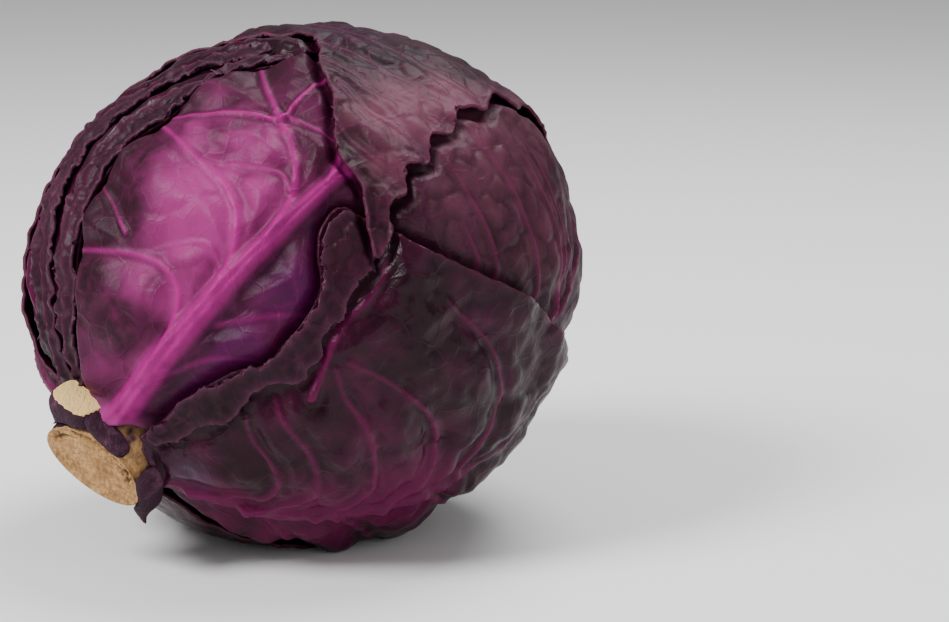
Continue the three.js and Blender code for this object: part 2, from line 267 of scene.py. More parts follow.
# ---- the leaves, outermost first --------------------------------------------
# Every line is a row of places on the head: azimuth and pole angle. A vein is its line, its
# half width and its height. A fold is a strip of its leaf's own margin turned back over it.
# Lighter patches lighten a leaf's blade: partly the leaf's own paler tone, partly painted highlight where
# light falls on it. Violet patches are a purple painted shade on the front leaf's right blade and a
# lilac-grey painted highlight near the stalk on the lower right leaf.
LEAVES = (
    dict(
        name="crown_leaf", finish="crown", middle=(-40, 110), ragged=0.8, detail=7,
        margin=((9, 111), (22, 101), (31, 95), (37, 89), (43, 84.5), (50, 83.5), (57, 79), (64, 76),
                (62, 81), (57, 85), (57, 90), (53, 93), (55, 99), (51, 103), (53, 110), (49, 115),
                (53, 121), (50, 130), (57, 137), (57, 143), (64, 147), (110, 152), (150, 150),
                (190, 140), (220, 120), (235, 95), (240, 60), (245, 30), (255, 6), (300, 6),
                (305, 30), (310, 50), (318, 70), (332, 90), (350, 104)),
        midrib=((-78, 6), (-76, 40), (-72, 80), (-66, 110), (-50, 135), (0, 158)), rib=(4.5, 1.4, 2.2),
        veins=((((-70, 90), (-40, 104), (0, 108), (19, 111), (33, 112), (42, 114), (49, 116)), 1.1, 0.7),
               (((28, 100), (39, 98), (45, 99), (54, 100)), 0.8, 0.5),
               (((36, 90), (42, 89), (50, 90), (56, 91)), 0.7, 0.5),
               (((20, 104), (34, 105), (44, 107), (53, 109)), 0.8, 0.5),
               (((-66, 106), (-30, 118), (10, 121), (42, 122), (52, 124)), 1.0, 0.7),
               (((-60, 120), (-20, 131), (20, 134), (55, 139)), 1.0, 0.7),
               (((-40, 140), (20, 146), (60, 152), (100, 150)), 0.9, 0.6),
               (((-74, 60), (-95, 88), (-112, 105), (-125, 112)), 1.1, 0.8),
               (((-70, 90), (-95, 115), (-125, 128), (-150, 132)), 1.0, 0.7),
               (((-66, 110), (-100, 138), (-150, 150), (-190, 148)), 1.0, 0.7),
               (((-75, 50), (-60, 72), (-48, 84)), 1.0, 0.7)),
        quilt=(1.2, 10.0), wave=(1.6, 22.0), lift=(1.1, 3.5), bulge=1.1,
        # lighter patches: the leaf's own mauve with painted highlight on the parts facing the light
        tone_and_highlight_patches=(((41, 104), 10, 1.0), ((47, 118), 9, 0.7), ((53, 134), 9, 0.5), ((51, 92), 7, 0.5)),
        dusky=(((22, 118), 14, 1.0), ((34, 134), 13, 0.8), ((30, 102), 8, 0.7), ((0, 120), 16, 0.6)),
        violet=(((8, 118), 12, 0.5), ((40, 152), 14, 0.5)),
    ),
    dict(
        name="underside_leaf", finish="wrapper", middle=(213, 62), ragged=0.6, detail=6,
        margin=((156, 18), (157, 26), (155, 35), (158, 44), (158, 54), (161, 78), (172, 98), (190, 112),
                (215, 118), (245, 112), (265, 95), (272, 70), (272, 45), (268, 22), (255, 5), (170, 5)),
        midrib=((214, 6), (213, 40), (213, 80), (214, 112)), rib=(5.0, 1.6, 1.6), sides=5,
        quilt=(0.8, 10.0), wave=(0.8, 26.0), lift=(0.8, 3.0), tone_and_highlight_patches=(),
    ),
    dict(
        name="right_fold", of="lower_right_leaf", finish="fold", middle=(70, 50), ragged=1.7, detail=7,
        margin=((76, 13), (72, 17), (68, 23), (66.5, 30), (67.5, 39), (70, 45), (69, 49), (67, 53), (66, 57),
                (62, 63), (57, 67), (53, 71), (52, 77), (57, 80.5), (62, 79), (65, 75), (66.5, 69), (69, 65),
                (72, 58.5), (76.5, 53.5), (78, 48), (75, 42), (80, 33), (81.5, 28), (86, 17), (84, 12)),
        veins=((((78, 16), (73, 28), (72, 38)), 0.6, 0.4), (((73, 48), (71, 57), (62, 70)), 0.6, 0.4)),
        quilt=(0.7, 5.0), wave=(1.3, 8.0), lift=(0.4, 2.2), crumple=(1.3, 4.0), bulge=0.2,
        tone_and_highlight_patches=(((60, 70), 12, 0.2),),
    ),
    dict(
        name="lower_right_leaf", finish="wrapper", middle=(130, 62), ragged=0.0, detail=7,
        margin=((74, 13), (71, 17), (67, 23), (66, 30), (67, 39), (70, 45), (68, 50), (66, 56), (62, 63),
                (56, 67), (52, 71), (51, 77), (57, 81), (66, 84), (78, 92), (98, 106), (130, 116), (165, 112),
                (190, 95), (200, 75), (200, 50), (195, 28), (180, 5), (85, 5)),
        midrib=((131, 6), (131, 25), (130, 50), (129, 75), (127, 105)), rib=(4.2, 1.6, 1.8),
        veins=((((130, 20), (121, 34), (112, 38), (102, 37), (92, 35), (82, 36)), 1.5, 1.3),
               (((130, 32), (120, 44), (110, 46), (99, 45), (88, 43), (80, 43)), 1.5, 1.3),
               (((130, 46), (121, 56), (110, 58), (98, 58), (88, 56), (80, 57)), 1.6, 1.4),
               (((129, 60), (118, 71), (104, 72), (90, 66), (80, 60)), 1.5, 1.2),
               (((84, 50), (74, 59), (71, 65), (70, 71), (66, 78)), 1.6, 1.6),
               (((128, 78), (112, 88), (96, 90), (80, 84)), 1.3, 1.0),
               (((130, 30), (145, 42), (165, 50), (185, 54)), 1.3, 0.9),
               (((130, 50), (148, 62), (168, 70), (190, 74)), 1.3, 0.9),
               (((129, 70), (148, 84), (170, 92)), 1.2, 0.9)),
        quilt=(0.8, 15.0), wave=(3.4, 15.0), lift=(0.5, 3.0), bulge=2.4,
        tone_and_highlight_patches=(((134, 45), 12, 1.0), ((126, 64), 12, 0.9), ((134, 26), 9, 0.8), ((98, 62), 8, 0.3)),
        # painted highlight: lilac-grey patches near the stalk
        violet=(((112, 20), 7, 0.5), ((128, 20), 7, 0.4)),
    ),
    dict(
        name="left_fold_inner", of="left_leaf", finish="fold", middle=(-12, 55), ragged=1.4, detail=7,
        margin=((-14, 12), (-9, 20), (-7, 30), (-9, 42), (-8, 51), (-7, 58), (-5, 65), (0, 73), (2, 82),
                (5, 91), (13, 101), (10, 101), (3, 94), (-2, 84), (-8, 75), (-13, 66), (-16, 55), (-18, 42),
                (-19, 30), (-24, 20), (-30, 13)),
        veins=((((-22, 15), (-13, 30), (-13, 50), (-10, 66), (-3, 80), (4, 97)), 1.2, 1.0),),
        quilt=(0.6, 5.0), wave=(1.5, 7.0), lift=(0.5, 2.0), crumple=(1.6, 3.6), bulge=0.2,
        tone_and_highlight_patches=(((-8, 55), 20, 0.35),),
    ),
    dict(
        name="left_fold_outer", of="left_leaf", finish="fold", middle=(-28, 55), ragged=1.6, detail=7,
        margin=((-38, 13), (-29, 22), (-24, 32), (-23, 44), (-22, 55), (-20, 66), (-14, 76), (-8, 86),
                (0, 95), (6, 101), (2, 101), (-8, 94), (-19, 84), (-29, 72), (-34, 58), (-37, 44),
                (-42, 30), (-52, 20)),
        veins=((((-40, 17), (-31, 32), (-30, 50), (-27, 66), (-18, 82), (-6, 96)), 1.2, 1.0),),
        quilt=(0.6, 5.0), wave=(1.6, 7.0), lift=(0.5, 2.0), crumple=(1.7, 3.6), bulge=0.2,
        tone_and_highlight_patches=(((-28, 50), 22, 0.3),),
    ),
    dict(
        name="left_leaf", finish="wrapper", middle=(-65, 62), ragged=0.0, detail=7,
        margin=((-15, 12), (-9, 20), (-7.5, 30), (-9, 42), (-8.5, 51), (-7, 58), (-5, 65), (0, 73), (2, 82),
                (5, 91), (14, 102), (8, 116), (-20, 124), (-60, 120), (-95, 108), (-115, 90), (-120, 60),
                (-115, 30), (-100, 5), (-25, 5)),
        midrib=((-66, 6), (-66, 40), (-64, 80), (-60, 115)), rib=(5.0, 1.6, 1.6),
        veins=((((-50, 12), (-44, 30), (-44, 50), (-40, 68), (-28, 88)), 1.5, 1.5),
               (((-56, 14), (-52, 34), (-51, 54), (-47, 72), (-36, 92)), 1.4, 1.4)),
        quilt=(0.7, 7.0), wave=(1.6, 12.0), lift=(0.5, 3.0), tone_and_highlight_patches=(((-40, 60), 24, 0.3),),
    ),
    dict(
        name="right_crown_leaf", finish="crown", middle=(108, 88), ragged=0.6, detail=7,
        margin=((92, 30), (86, 48), (78, 60), (68, 72), (60, 80), (50, 90), (44, 102), (42, 120), (50, 145),
                (90, 160), (140, 150), (165, 125), (170, 95), (165, 60), (155, 30), (145, 5), (100, 5)),
        midrib=((118, 6), (116, 40), (112, 80), (106, 115), (95, 140)), rib=(4.5, 1.4, 1.8), sides=3,
        veins=((((114, 70), (98, 92), (80, 99), (66, 102), (50, 104)), 1.0, 0.8),
               (((110, 90), (96, 106), (78, 112), (62, 114), (48, 114)), 1.0, 0.8),
               (((106, 110), (92, 122), (76, 126), (58, 127)), 1.0, 0.8),
               (((102, 122), (86, 136), (66, 141)), 0.9, 0.7)),
        quilt=(1.1, 10.0), wave=(1.6, 20.0), lift=(0.6, 3.0), bulge=0.9, tone_and_highlight_patches=(((60, 118), 22, 0.4),),
    ),
    dict(
        name="front_leaf", finish="front", middle=(40, 62), ragged=0.0, detail=7,
        margin=((-22, 15), (-24, 40), (-22, 65), (-15, 85), (-5, 103), (8, 120), (25, 130), (45, 132),
                (62, 122), (76, 102), (88, 80), (98, 58), (102, 35), (102, 14), (80, 5), (0, 5)),
        midrib=((46, 7), (46, 19), (46.5, 35), (46, 50), (46, 66), (45.5, 83), (45, 112)),
        rib=(5.6, 2.2, 4.6),
        veins=((((45.5, 46), (41, 56), (35, 62), (27, 65), (19, 66), (7, 69), (-4, 72)), 1.5, 1.0),
               (((46, 24), (42, 35), (36, 42), (28, 44), (18, 43), (6, 41), (-8, 40)), 1.5, 1.0),
               (((45.5, 62), (42, 72), (35, 79), (26, 84), (16, 90), (8, 96)), 1.5, 1.1),
               (((27, 84), (17, 79), (7, 74), (-3, 71)), 1.1, 0.8),
               (((24, 84.5), (38, 88), (45, 92)), 0.9, 0.6),
               (((41, 72), (37, 73.5), (29, 70), (19, 65.5)), 0.9, 0.6),
               (((12, 46), (4, 50), (-8, 56)), 0.9, 0.6),
               (((43, 50), (36, 53), (28, 49), (20, 44)), 0.8, 0.5),
               (((45, 80), (36, 97), (24, 106), (14, 112)), 1.2, 0.8),
               (((27, 84), (24, 100), (20, 112)), 1.0, 0.8),
               (((52, 26), (60, 38), (70, 44), (84, 47)), 1.6, 0.35),
               (((52, 42), (60, 52), (68, 60), (80, 66)), 1.6, 0.35)),
        quilt=(1.0, 15.0), wave=(2.2, 20.0), lift=(0.0, 3.0), bulge=3.0,
        # lighter patches: the blade's own pink with painted highlight where the light falls on it
        tone_and_highlight_patches=(((26, 56), 13, 0.75), ((37, 45), 9, 0.4), ((20, 41), 9, 0.45), ((28, 74), 8, 0.5),
                ((36, 22), 8, 0.35), ((36, 66), 7, 0.4), ((14, 68), 8, 0.3)),
        dusky=(((3, 48), 13, 1.0), ((22, 29), 7, 1.0), ((0, 62), 12, 0.9), ((38, 8), 6, 0.7),
               ((0, 34), 14, 0.9),
               ((30, 106), 14, 0.8), ((10, 94), 13, 0.8), ((3, 78), 9, 0.7), ((45, 100), 10, 0.7),
               ((26, 12), 8, 0.6), ((34, 88), 6, 0.4)),
        # painted shade: the right blade beside the midrib's valley darkened to purple, on the leaf's own
        # purple hue
        violet=(((60, 42), 8, 1.0), ((64, 30), 9, 0.9), ((58, 58), 9, 0.9), ((66, 20), 8, 0.7),
                ((54, 72), 8, 0.8)),
    ),
    dict(
        name="back_leaf", finish="wrapper", middle=(242, 70), ragged=0.5, detail=6,
        margin=((192, 14), (185, 40), (185, 70), (195, 100), (215, 125), (250, 142), (285, 132), (300, 102),
                (302, 70), (298, 40), (290, 14), (275, 5), (205, 5)),
        midrib=((243, 6), (242, 60), (240, 125)), rib=(4.5, 1.4, 1.6), sides=5,
        quilt=(0.8, 10.0), wave=(1.0, 26.0), lift=(0.5, 3.0), tone_and_highlight_patches=(),
    ),
    dict(
        name="top_leaf", finish="front", middle=(-10, 78), ragged=0.4, detail=6,
        margin=((-60, 14), (-65, 45), (-62, 85), (-50, 115), (-20, 140), (20, 150), (50, 140), (48, 110),
                (42, 80), (42, 45), (38, 14), (20, 5), (-40, 5)),
        midrib=((-10, 6), (-10, 60), (-5, 130)), rib=(4.5, 1.4, 1.6), sides=5,
        quilt=(0.8, 10.0), wave=(1.0, 26.0), lift=(0.3, 3.0), tone_and_highlight_patches=(),
    ),
    dict(
        name="far_side_leaf", finish="wrapper", middle=(180, 82), ragged=0.4, detail=6,
        margin=((142, 14), (138, 50), (135, 90), (140, 125), (160, 150), (190, 160), (225, 145), (235, 115),
                (225, 80), (222, 45), (215, 14), (200, 5), (155, 5)),
        midrib=((178, 6), (180, 60), (185, 140)), rib=(4.5, 1.4, 1.6), sides=5,
        quilt=(0.9, 10.0), wave=(1.0, 26.0), lift=(0.5, 3.0), tone_and_highlight_patches=(((185, 120), 20, 0.3),),
    ),
)
FOLD_PITCH = 1.5                # a fold lies closer than the next leaf does
HEAD_LEAF_TURN = 137.5
HEAD_LEAF_MIDDLE = 84.0
HEAD_LEAF_REACH = 78.0
HEAD_LEAF_PITCH = 4.0
HEAD_LEAF_COUNT = 16
HEAD_LEAF_DETAIL = 5
HEART_DETAIL = 6
LEAF_MARKS = ("vein", "rim", "tone_and_highlight", "dusk", "shade", "violet", "pillow", "collar")


def pitch_of(leaf):
    return FOLD_PITCH if "of" in leaf else LEAF_PITCH


def prepared(leaf, seed):
    """The leaf with its plane, and its margin and lines laid in it."""
    made = dict(leaf)
    plane = LeafPlane(leaf["middle"])
    made["plane"] = plane
    made["seed"] = seed
    made["coarse"] = plane.line(leaf["margin"], closed=True, steps=3)
    fine = plane.line(leaf["margin"], closed=True, steps=9)
    made["outline"] = ruffled(fine, leaf["ragged"], 4.0, seed)
    veins = [(plane.line(places), width, height) for places, width, height in leaf.get("veins", ())]
    if "midrib" in leaf:
        made["rib_line"] = plane.line(leaf["midrib"], steps=8)
        for k in range(leaf.get("sides", 0)):
            at = 0.14 + 0.72 * (k + 0.5) / leaf["sides"]
            start = made["rib_line"][int(at * (len(made["rib_line"]) - 1))]
            ahead = made["rib_line"][-1] - made["rib_line"][0]
            ahead /= np.linalg.norm(ahead)
            for hand in (-1, 1):
                out = np.array([-ahead[1], ahead[0]]) * hand
                reach = 62 * math.sin(math.pi * (0.25 + 0.6 * at))
                t = np.linspace(0, 1, 14)[:, None]
                bend = start + out * reach * t + ahead * reach * (0.75 * t - 0.25 * t * t)
                veins.append((bend, 1.2, 0.9))
    made["vein_lines"] = veins
    return made


def margin_distance(leaf, n, fine=False):
    """Millimetres inside the leaf's margin, negative outside it."""
    p = leaf["plane"].flat(n)
    outline = leaf["outline" if fine else "coarse"]
    away, spot, _, _ = near_line(p, outline, closed=True)
    return np.where(inside(p, outline), away, -away), spot


def stalk_section(z):
    """Half sizes and middle of the stalk's section at a height in the head."""
    rings = np.array(STALK_RINGS, float)[::-1]
    return [np.interp(z, rings[:, 0], rings[:, k]) for k in range(1, 5)]


def across_stalk(points, clearance=0.0):
    """Where points lie across the stalk, along its short and long axes, and its half sizes there."""
    height, width, x, y = stalk_section(points[:, 2])
    dx, dy = points[:, 0] - x, points[:, 1] - y
    short = dx * math.cos(STALK_TURN) + dy * math.sin(STALK_TURN)
    long = dy * math.cos(STALK_TURN) - dx * math.sin(STALK_TURN)
    height = np.where(short < 0, height * STALK_FLATTENED, height) + clearance
    return short, long, height, width + clearance


def from_stalk(short, long, z):
    """The place in the head of a place across the stalk."""
    _, _, x, y = stalk_section(z)
    return np.stack([x + short * math.cos(STALK_TURN) - long * math.sin(STALK_TURN),
                     y + short * math.sin(STALK_TURN) + long * math.cos(STALK_TURN), z], -1)


def outside_stalk(points, clearance):
    """How far outside the stalk points are, as a multiple of its own size, less one."""
    short, long, height, width = across_stalk(points, clearance)
    return np.where(points[:, 2] > 0, 9.0, np.hypot(short / height, long / width) - 1)


# ---- mesh helpers -----------------------------------------------------------
def deselect():
    if bpy.context.mode != "OBJECT":
        bpy.ops.object.mode_set(mode="OBJECT")
    bpy.ops.object.select_all(action="DESELECT")


def active(obj):
    deselect()
    obj.select_set(True)
    bpy.context.view_layer.objects.active = obj
    return obj


def corners_of(obj):
    co = np.empty(len(obj.data.vertices) * 3)
    obj.data.vertices.foreach_get("co", co)
    return co.reshape(-1, 3)


def place_corners(obj, co):
    obj.data.vertices.foreach_set("co", np.ascontiguousarray(co, np.float32).ravel())
    obj.data.update()


def faces_of(obj):
    """Corner numbers of an all-triangle mesh."""
    numbers = np.empty(len(obj.data.loops), np.int64)
    obj.data.loops.foreach_get("vertex_index", numbers)
    return numbers.reshape(-1, 3)


def choose(obj, domain, chosen):
    for kind in ("vertices", "edges", "polygons"):
        items = getattr(obj.data, kind)
        items.foreach_set("select", np.zeros(len(items), bool))
    getattr(obj.data, domain).foreach_set("select", chosen)


def edit(obj, mode, *steps):
    active(obj)
    bpy.context.tool_settings.mesh_select_mode = (mode == "VERT", mode == "EDGE", mode == "FACE")
    bpy.ops.object.mode_set(mode="EDIT")
    for step in steps:
        step()
    bpy.ops.object.mode_set(mode="OBJECT")


def write_attribute(obj, name, values):
    attribute = obj.data.attributes.get(name) or obj.data.attributes.new(name, "FLOAT", "POINT")
    attribute.data.foreach_set("value", np.ascontiguousarray(values, np.float32))


def apply_modifier(obj, kind, **settings):
    active(obj)
    modifier = obj.modifiers.new(kind.title(), kind)
    for key, value in settings.items():
        setattr(modifier, key, value)
    bpy.ops.object.modifier_apply(modifier=modifier.name)


def smooth(obj):
    active(obj)
    bpy.ops.object.shade_smooth()


def finish_piece(obj, name, material, slot, *nodes):
    obj.name = name
    obj.data.name = name
    obj.data.materials.clear()
    for one in material if isinstance(material, (list, tuple)) else [material]:
        obj.data.materials.append(one)
    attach(obj, "root")
    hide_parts(*nodes)
    return obj


# ---- building a leaf --------------------------------------------------------
def leaf_net(detail):
    deselect()
    bpy.ops.mesh.primitive_ico_sphere_add(subdivisions=detail, radius=1.0)
    return bpy.context.active_object


def unit(points):
    return points / np.linalg.norm(points, axis=-1, keepdims=True)


def cut_to_margin(obj, leaf):
    """Deletes what lies outside the leaf, then draws the rim onto the margin."""
    distance, _ = margin_distance(leaf, unit(corners_of(obj)), fine=True)
    kept = (distance[faces_of(obj)] > 0).any(-1)
    choose(obj, "polygons", ~kept)
    edit(obj, "FACE", lambda: bpy.ops.mesh.delete(type="FACE"))
    draw_rim(obj, leaf)


def rim_corners(obj):
    edges = np.sort(np.concatenate([faces_of(obj)[:, pair] for pair in ([0, 1], [1, 2], [2, 0])]), 1)
    keys, counts = np.unique(edges[:, 0] * 10_000_000 + edges[:, 1], return_counts=True)
    lone = keys[counts == 1]
    return np.unique(np.concatenate([lone // 10_000_000, lone % 10_000_000]))


def draw_rim(obj, leaf):
    n = unit(corners_of(obj))
    rim = rim_corners(obj)
    _, spot = margin_distance(leaf, n[rim], fine=True)
    n[rim] = leaf["plane"].wrapped(spot)
    place_corners(obj, n)


def refine_what_shows(obj, above):
    """Halves the faces that no other leaf covers, so that detail goes where it is seen."""
    n = unit(corners_of(obj))
    deepest = np.full(len(n), -99.0)
    for other in above:
        deepest = np.maximum(deepest, margin_distance(other, n)[0])
    toward_front = n @ FRONT
    shows = (deepest[faces_of(obj)] < 1.0).any(-1) & (toward_front[faces_of(obj)] > 0.25).any(-1)
    choose(obj, "polygons", shows)
    edit(obj, "FACE", lambda: bpy.ops.mesh.subdivide(number_cuts=1, smoothness=0.0))
    active(obj)
    obj.modifiers.new("Triangulate", "TRIANGULATE")
    bpy.ops.object.modifier_apply(modifier="Triangulate")


def covered_depth(n, above):
    """How deep leaves lying over this one press it, and how nearly covered it is."""
    depth = np.zeros(len(n))
    cover = np.zeros(len(n))
    for other in above:
        distance, _ = margin_distance(other, n)
        share = ease(-COVER_RAMP, -0.2, distance)
        depth += pitch_of(other) * share
        cover = np.maximum(cover, share)
    return depth, cover


def leaf_relief(leaf, n, p, cover, shape):
    """The leaf's own form above its smooth surface, and how far each place is a vein."""
    seed = leaf["seed"]
    relief = np.zeros(len(n))
    vein = np.zeros(len(n))
    nearest = np.full(len(n), 99.0)
    shade = np.zeros(len(n))
    for line, half_width, height in leaf["vein_lines"]:
        away, _, along, _ = near_line(p, line)
        taper = 1.0 - 0.75 * along
        width = half_width * (0.55 + 0.45 * taper)
        relief += shape.vein_height * height * taper * np.exp(-(away / width) ** 2)
        relief -= 0.55 * height * taper * np.exp(-((away - 2.4 * width) / (1.4 * width)) ** 2)
        strength = min(1.0, height / 0.8) * (0.45 + 0.55 * taper)
        vein = np.maximum(vein, strength * np.exp(-(away / (1.05 * width)) ** 2))
        nearest = np.minimum(nearest, away)
    if "rib_line" in leaf:
        base, tip, height = leaf["rib"]
        away, _, along, side = near_line(p, leaf["rib_line"])
        width = base + (tip - base) * along ** 0.8
        crest = np.exp(-(away / width) ** 4) * (1 - 0.12 * np.cos(away / width * 9))
        relief += height * (1 - 0.6 * along) * crest
        valley = np.exp(-((away - 2.0 * width) / (1.1 * width)) ** 2)
        relief -= valley * (1 - along) * np.where(side > 0, 1.6, 0.5) * min(1.0, height / 3.0)
        vein = np.maximum(vein, (1 - 0.4 * along) * np.exp(-(away / (1.05 * width)) ** 4))
        shade = (1 - 0.45 * along) * np.exp(-((away - 1.85 * width) / (0.9 * width)) ** 2)
        shade = np.where(side > 0, shade, 0)
        shade *= min(1.0, height / 4.0)
        nearest = np.minimum(nearest, away - width * 0.7)
    amount, size = leaf["quilt"]
    bent = p + 1.6 * np.stack([swell(p, 7.0, seed + 1), swell(p, 7.0, seed + 2)], -1)
    first, second = cells(bent, size, seed)
    pillow = np.clip(second - first, 0, 0.6) / 0.6
    between = ease(0.5, 5.0, nearest)
    relief += shape.quilting * amount * (pillow * (2 - pillow) - 0.5) * 0.6 * between
    relief += leaf.get("bulge", 0.5) * shape.quilting * (1 - np.exp(-(nearest / 7.0) ** 2))
    relief += 0.45 * amount * shape.quilting * swell(p, size * 0.6, seed + 3) * between
    amount, size = leaf["wave"]
    relief += shape.waves * amount * swell(n * 86.0, size, seed + 4, 3)
    return relief * (1 - cover) + np.minimum(relief, 0) * 0.3 * cover, vein, pillow, shade


def patch(n, patches):
    total = np.zeros(len(n))
    for place, radius, strength in patches:
        total = np.maximum(total, strength * np.exp(-(angle_between(n, direction(*place)) / radius) ** 2))
    return total


def build_sheet(leaf, above, shape):
    obj = leaf_net(leaf["detail"])
    cut_to_margin(obj, leaf)
    refine_what_shows(obj, above)
    draw_rim(obj, leaf)
    n = unit(corners_of(obj))
    plane = leaf["plane"]
    p = plane.flat(n)
    depth, cover = covered_depth(n, above)
    distance, _ = margin_distance(leaf, n, fine=True)
    distance = np.maximum(distance, 0.0)
    relief, vein, pillow, shade = leaf_relief(leaf, n, p, cover, shape)
    height, reach = leaf["lift"]
    curl = height * np.exp(-distance / reach)
    depth_of_crumple, spacing = leaf.get("crumple", (0.7, 5.0))
    crumple = np.exp(-distance / 9.0) * depth_of_crumple * swell(n * 86.0, spacing, leaf["seed"] + 9, 3)
    relief += (curl + (crumple if leaf["ragged"] else 0)) * (1 - cover)
    radius = free_radius(n) - depth + relief
    radius = pressed_flat(n, radius, clearance=depth)
    points = n * radius[:, None]
    points = clear_of_stalk(points)
    place_corners(obj, to_row(points))
    write_attribute(obj, "vein", vein)
    write_attribute(obj, "rim", np.exp(-distance / 0.9))
    # lighter patches: partly the leaf's own tone, partly painted highlight
    write_attribute(obj, "tone_and_highlight", patch(n, leaf.get("tone_and_highlight_patches", ())))
    write_attribute(obj, "dusk", patch(n, leaf.get("dusky", ())))
    write_attribute(obj, "shade", shade)
    # violet patches: purple painted shade on the front leaf's right blade, lilac-grey painted highlight near
    # the stalk on the wrappers
    write_attribute(obj, "violet", patch(n, leaf.get("violet", ())))
    # painted light: the quilt cells' swelling middles are painted lighter and the creases between them darker
    write_attribute(obj, "pillow", pillow * (1 - cover))
    bare = outside_stalk(points, 0.0)
    write_attribute(obj, "collar", np.exp(-np.maximum(bare, 0) / 0.45))
    apply_modifier(obj, "SOLIDIFY", thickness=shape.leaf_thickness, offset=-1.0, use_even_offset=False)
    smooth(obj)
    return obj


def clear_of_stalk(points):
    """Pushes the leaf's base out round the stalk, so that it clasps it without touching."""
    short, long, height, width = across_stalk(points, 0.45)
    ratio = np.hypot(short / height, long / width)
    # places inside the stalk are gathered between its edge and a little way beyond
    near = (points[:, 2] < 0) & (ratio < 1.35)
    wanted = 1.0 + 0.35 * (np.maximum(ratio, 1e-6) / 1.35) ** 2.2
    grow = np.where(near, wanted / np.maximum(ratio, 0.02), 1.0)
    return np.where(near[:, None], from_stalk(short * grow, long * grow, points[:, 2]), points)


# ---- materials --------------------------------------------------------------
class Finish:
    """A material's nodes, added one by one."""

    def __init__(self, name):
        self.material = bpy.data.materials.new(name)
        self.material.use_nodes = True
        self.tree = self.material.node_tree
        self.tree.nodes.clear()
        self.output = self.tree.nodes.new("ShaderNodeOutputMaterial")
        self.shader = self.tree.nodes.new("ShaderNodeBsdfPrincipled")
        self.join(self.shader.outputs[0], self.output.inputs[0])
        self.place = self.tree.nodes.new("ShaderNodeTexCoord").outputs["Object"]

    def join(self, start, end):
        self.tree.links.new(start, end)

    def feed(self, socket, value):
        if isinstance(value, bpy.types.NodeSocket):
            self.join(value, socket)
        elif isinstance(value, tuple) and len(value) == 3 and socket.type == "RGBA":
            socket.default_value = (*value, 1.0)
        else:
            socket.default_value = value

    def attribute(self, name):
        node = self.tree.nodes.new("ShaderNodeAttribute")
        node.attribute_name = name
        return node.outputs["Fac"]

    def noise(self, scale, detail=3.0, roughness=0.55, vector=None):
        node = self.tree.nodes.new("ShaderNodeTexNoise")
        self.join(vector or self.place, node.inputs["Vector"])
        node.inputs["Scale"].default_value = scale
        node.inputs["Detail"].default_value = detail
        node.inputs["Roughness"].default_value = roughness
        return node.outputs["Fac"]

    def stretched(self, scale):
        node = self.tree.nodes.new("ShaderNodeMapping")
        self.join(self.place, node.inputs["Vector"])
        node.inputs["Scale"].default_value = scale
        return node.outputs["Vector"]

    def bent(self, amount, scale):
        wander = self.tree.nodes.new("ShaderNodeTexNoise")
        self.join(self.place, wander.inputs["Vector"])
        wander.inputs["Scale"].default_value = scale
        node = self.tree.nodes.new("ShaderNodeVectorMath")
        node.operation = "MULTIPLY_ADD"
        self.join(wander.outputs["Color"], node.inputs[0])
        node.inputs[1].default_value = (amount,) * 3
        self.join(self.place, node.inputs[2])
        return node.outputs[0]

    def net(self, scale, vector):
        node = self.tree.nodes.new("ShaderNodeTexVoronoi")
        node.feature = "DISTANCE_TO_EDGE"
        self.join(vector, node.inputs["Vector"])
        node.inputs["Scale"].default_value = scale
        return node.outputs["Distance"]

    def spread(self, value, low, high, start=0.0, end=1.0):
        node = self.tree.nodes.new("ShaderNodeMapRange")
        node.interpolation_type = "SMOOTHSTEP"
        for socket, number in zip(node.inputs, (value, low, high, start, end)):
            self.feed(socket, number)
        return node.outputs[0]

    def sum(self, *terms):
        """Adds value times weight for each pair."""
        total = None
        for value, weight in terms:
            node = self.tree.nodes.new("ShaderNodeMath")
            node.operation = "MULTIPLY_ADD"
            self.feed(node.inputs[0], value)
            node.inputs[1].default_value = weight
            self.feed(node.inputs[2], total if total is not None else 0.0)
            total = node.outputs[0]
        return total

    def times(self, a, b):
        node = self.tree.nodes.new("ShaderNodeMath")
        node.operation = "MULTIPLY"
        node.use_clamp = True
        self.feed(node.inputs[0], a)
        self.feed(node.inputs[1], b)
        return node.outputs[0]

    def mix(self, share, a, b):
        node = self.tree.nodes.new("ShaderNodeMix")
        node.data_type = "RGBA"
        self.feed(node.inputs["Factor"], share)
        self.feed(node.inputs[6], a)
        self.feed(node.inputs[7], b)
        return node.outputs[2]

    def bump(self, *layers):
        """Bumps one over the other: each is a height, its depth in metres."""
        normal = None
        for height, depth in layers:
            node = self.tree.nodes.new("ShaderNodeBump")
            node.inputs["Distance"].default_value = depth
            node.inputs["Strength"].default_value = 1.0
            self.feed(node.inputs["Height"], height)
            if normal is not None:
                self.join(normal, node.inputs["Normal"])
            normal = node.outputs[0]
        self.join(normal, self.shader.inputs["Normal"])

    def set(self, **values):
        for name, value in values.items():
            self.feed(self.shader.inputs[name.replace("_", " ")], value)


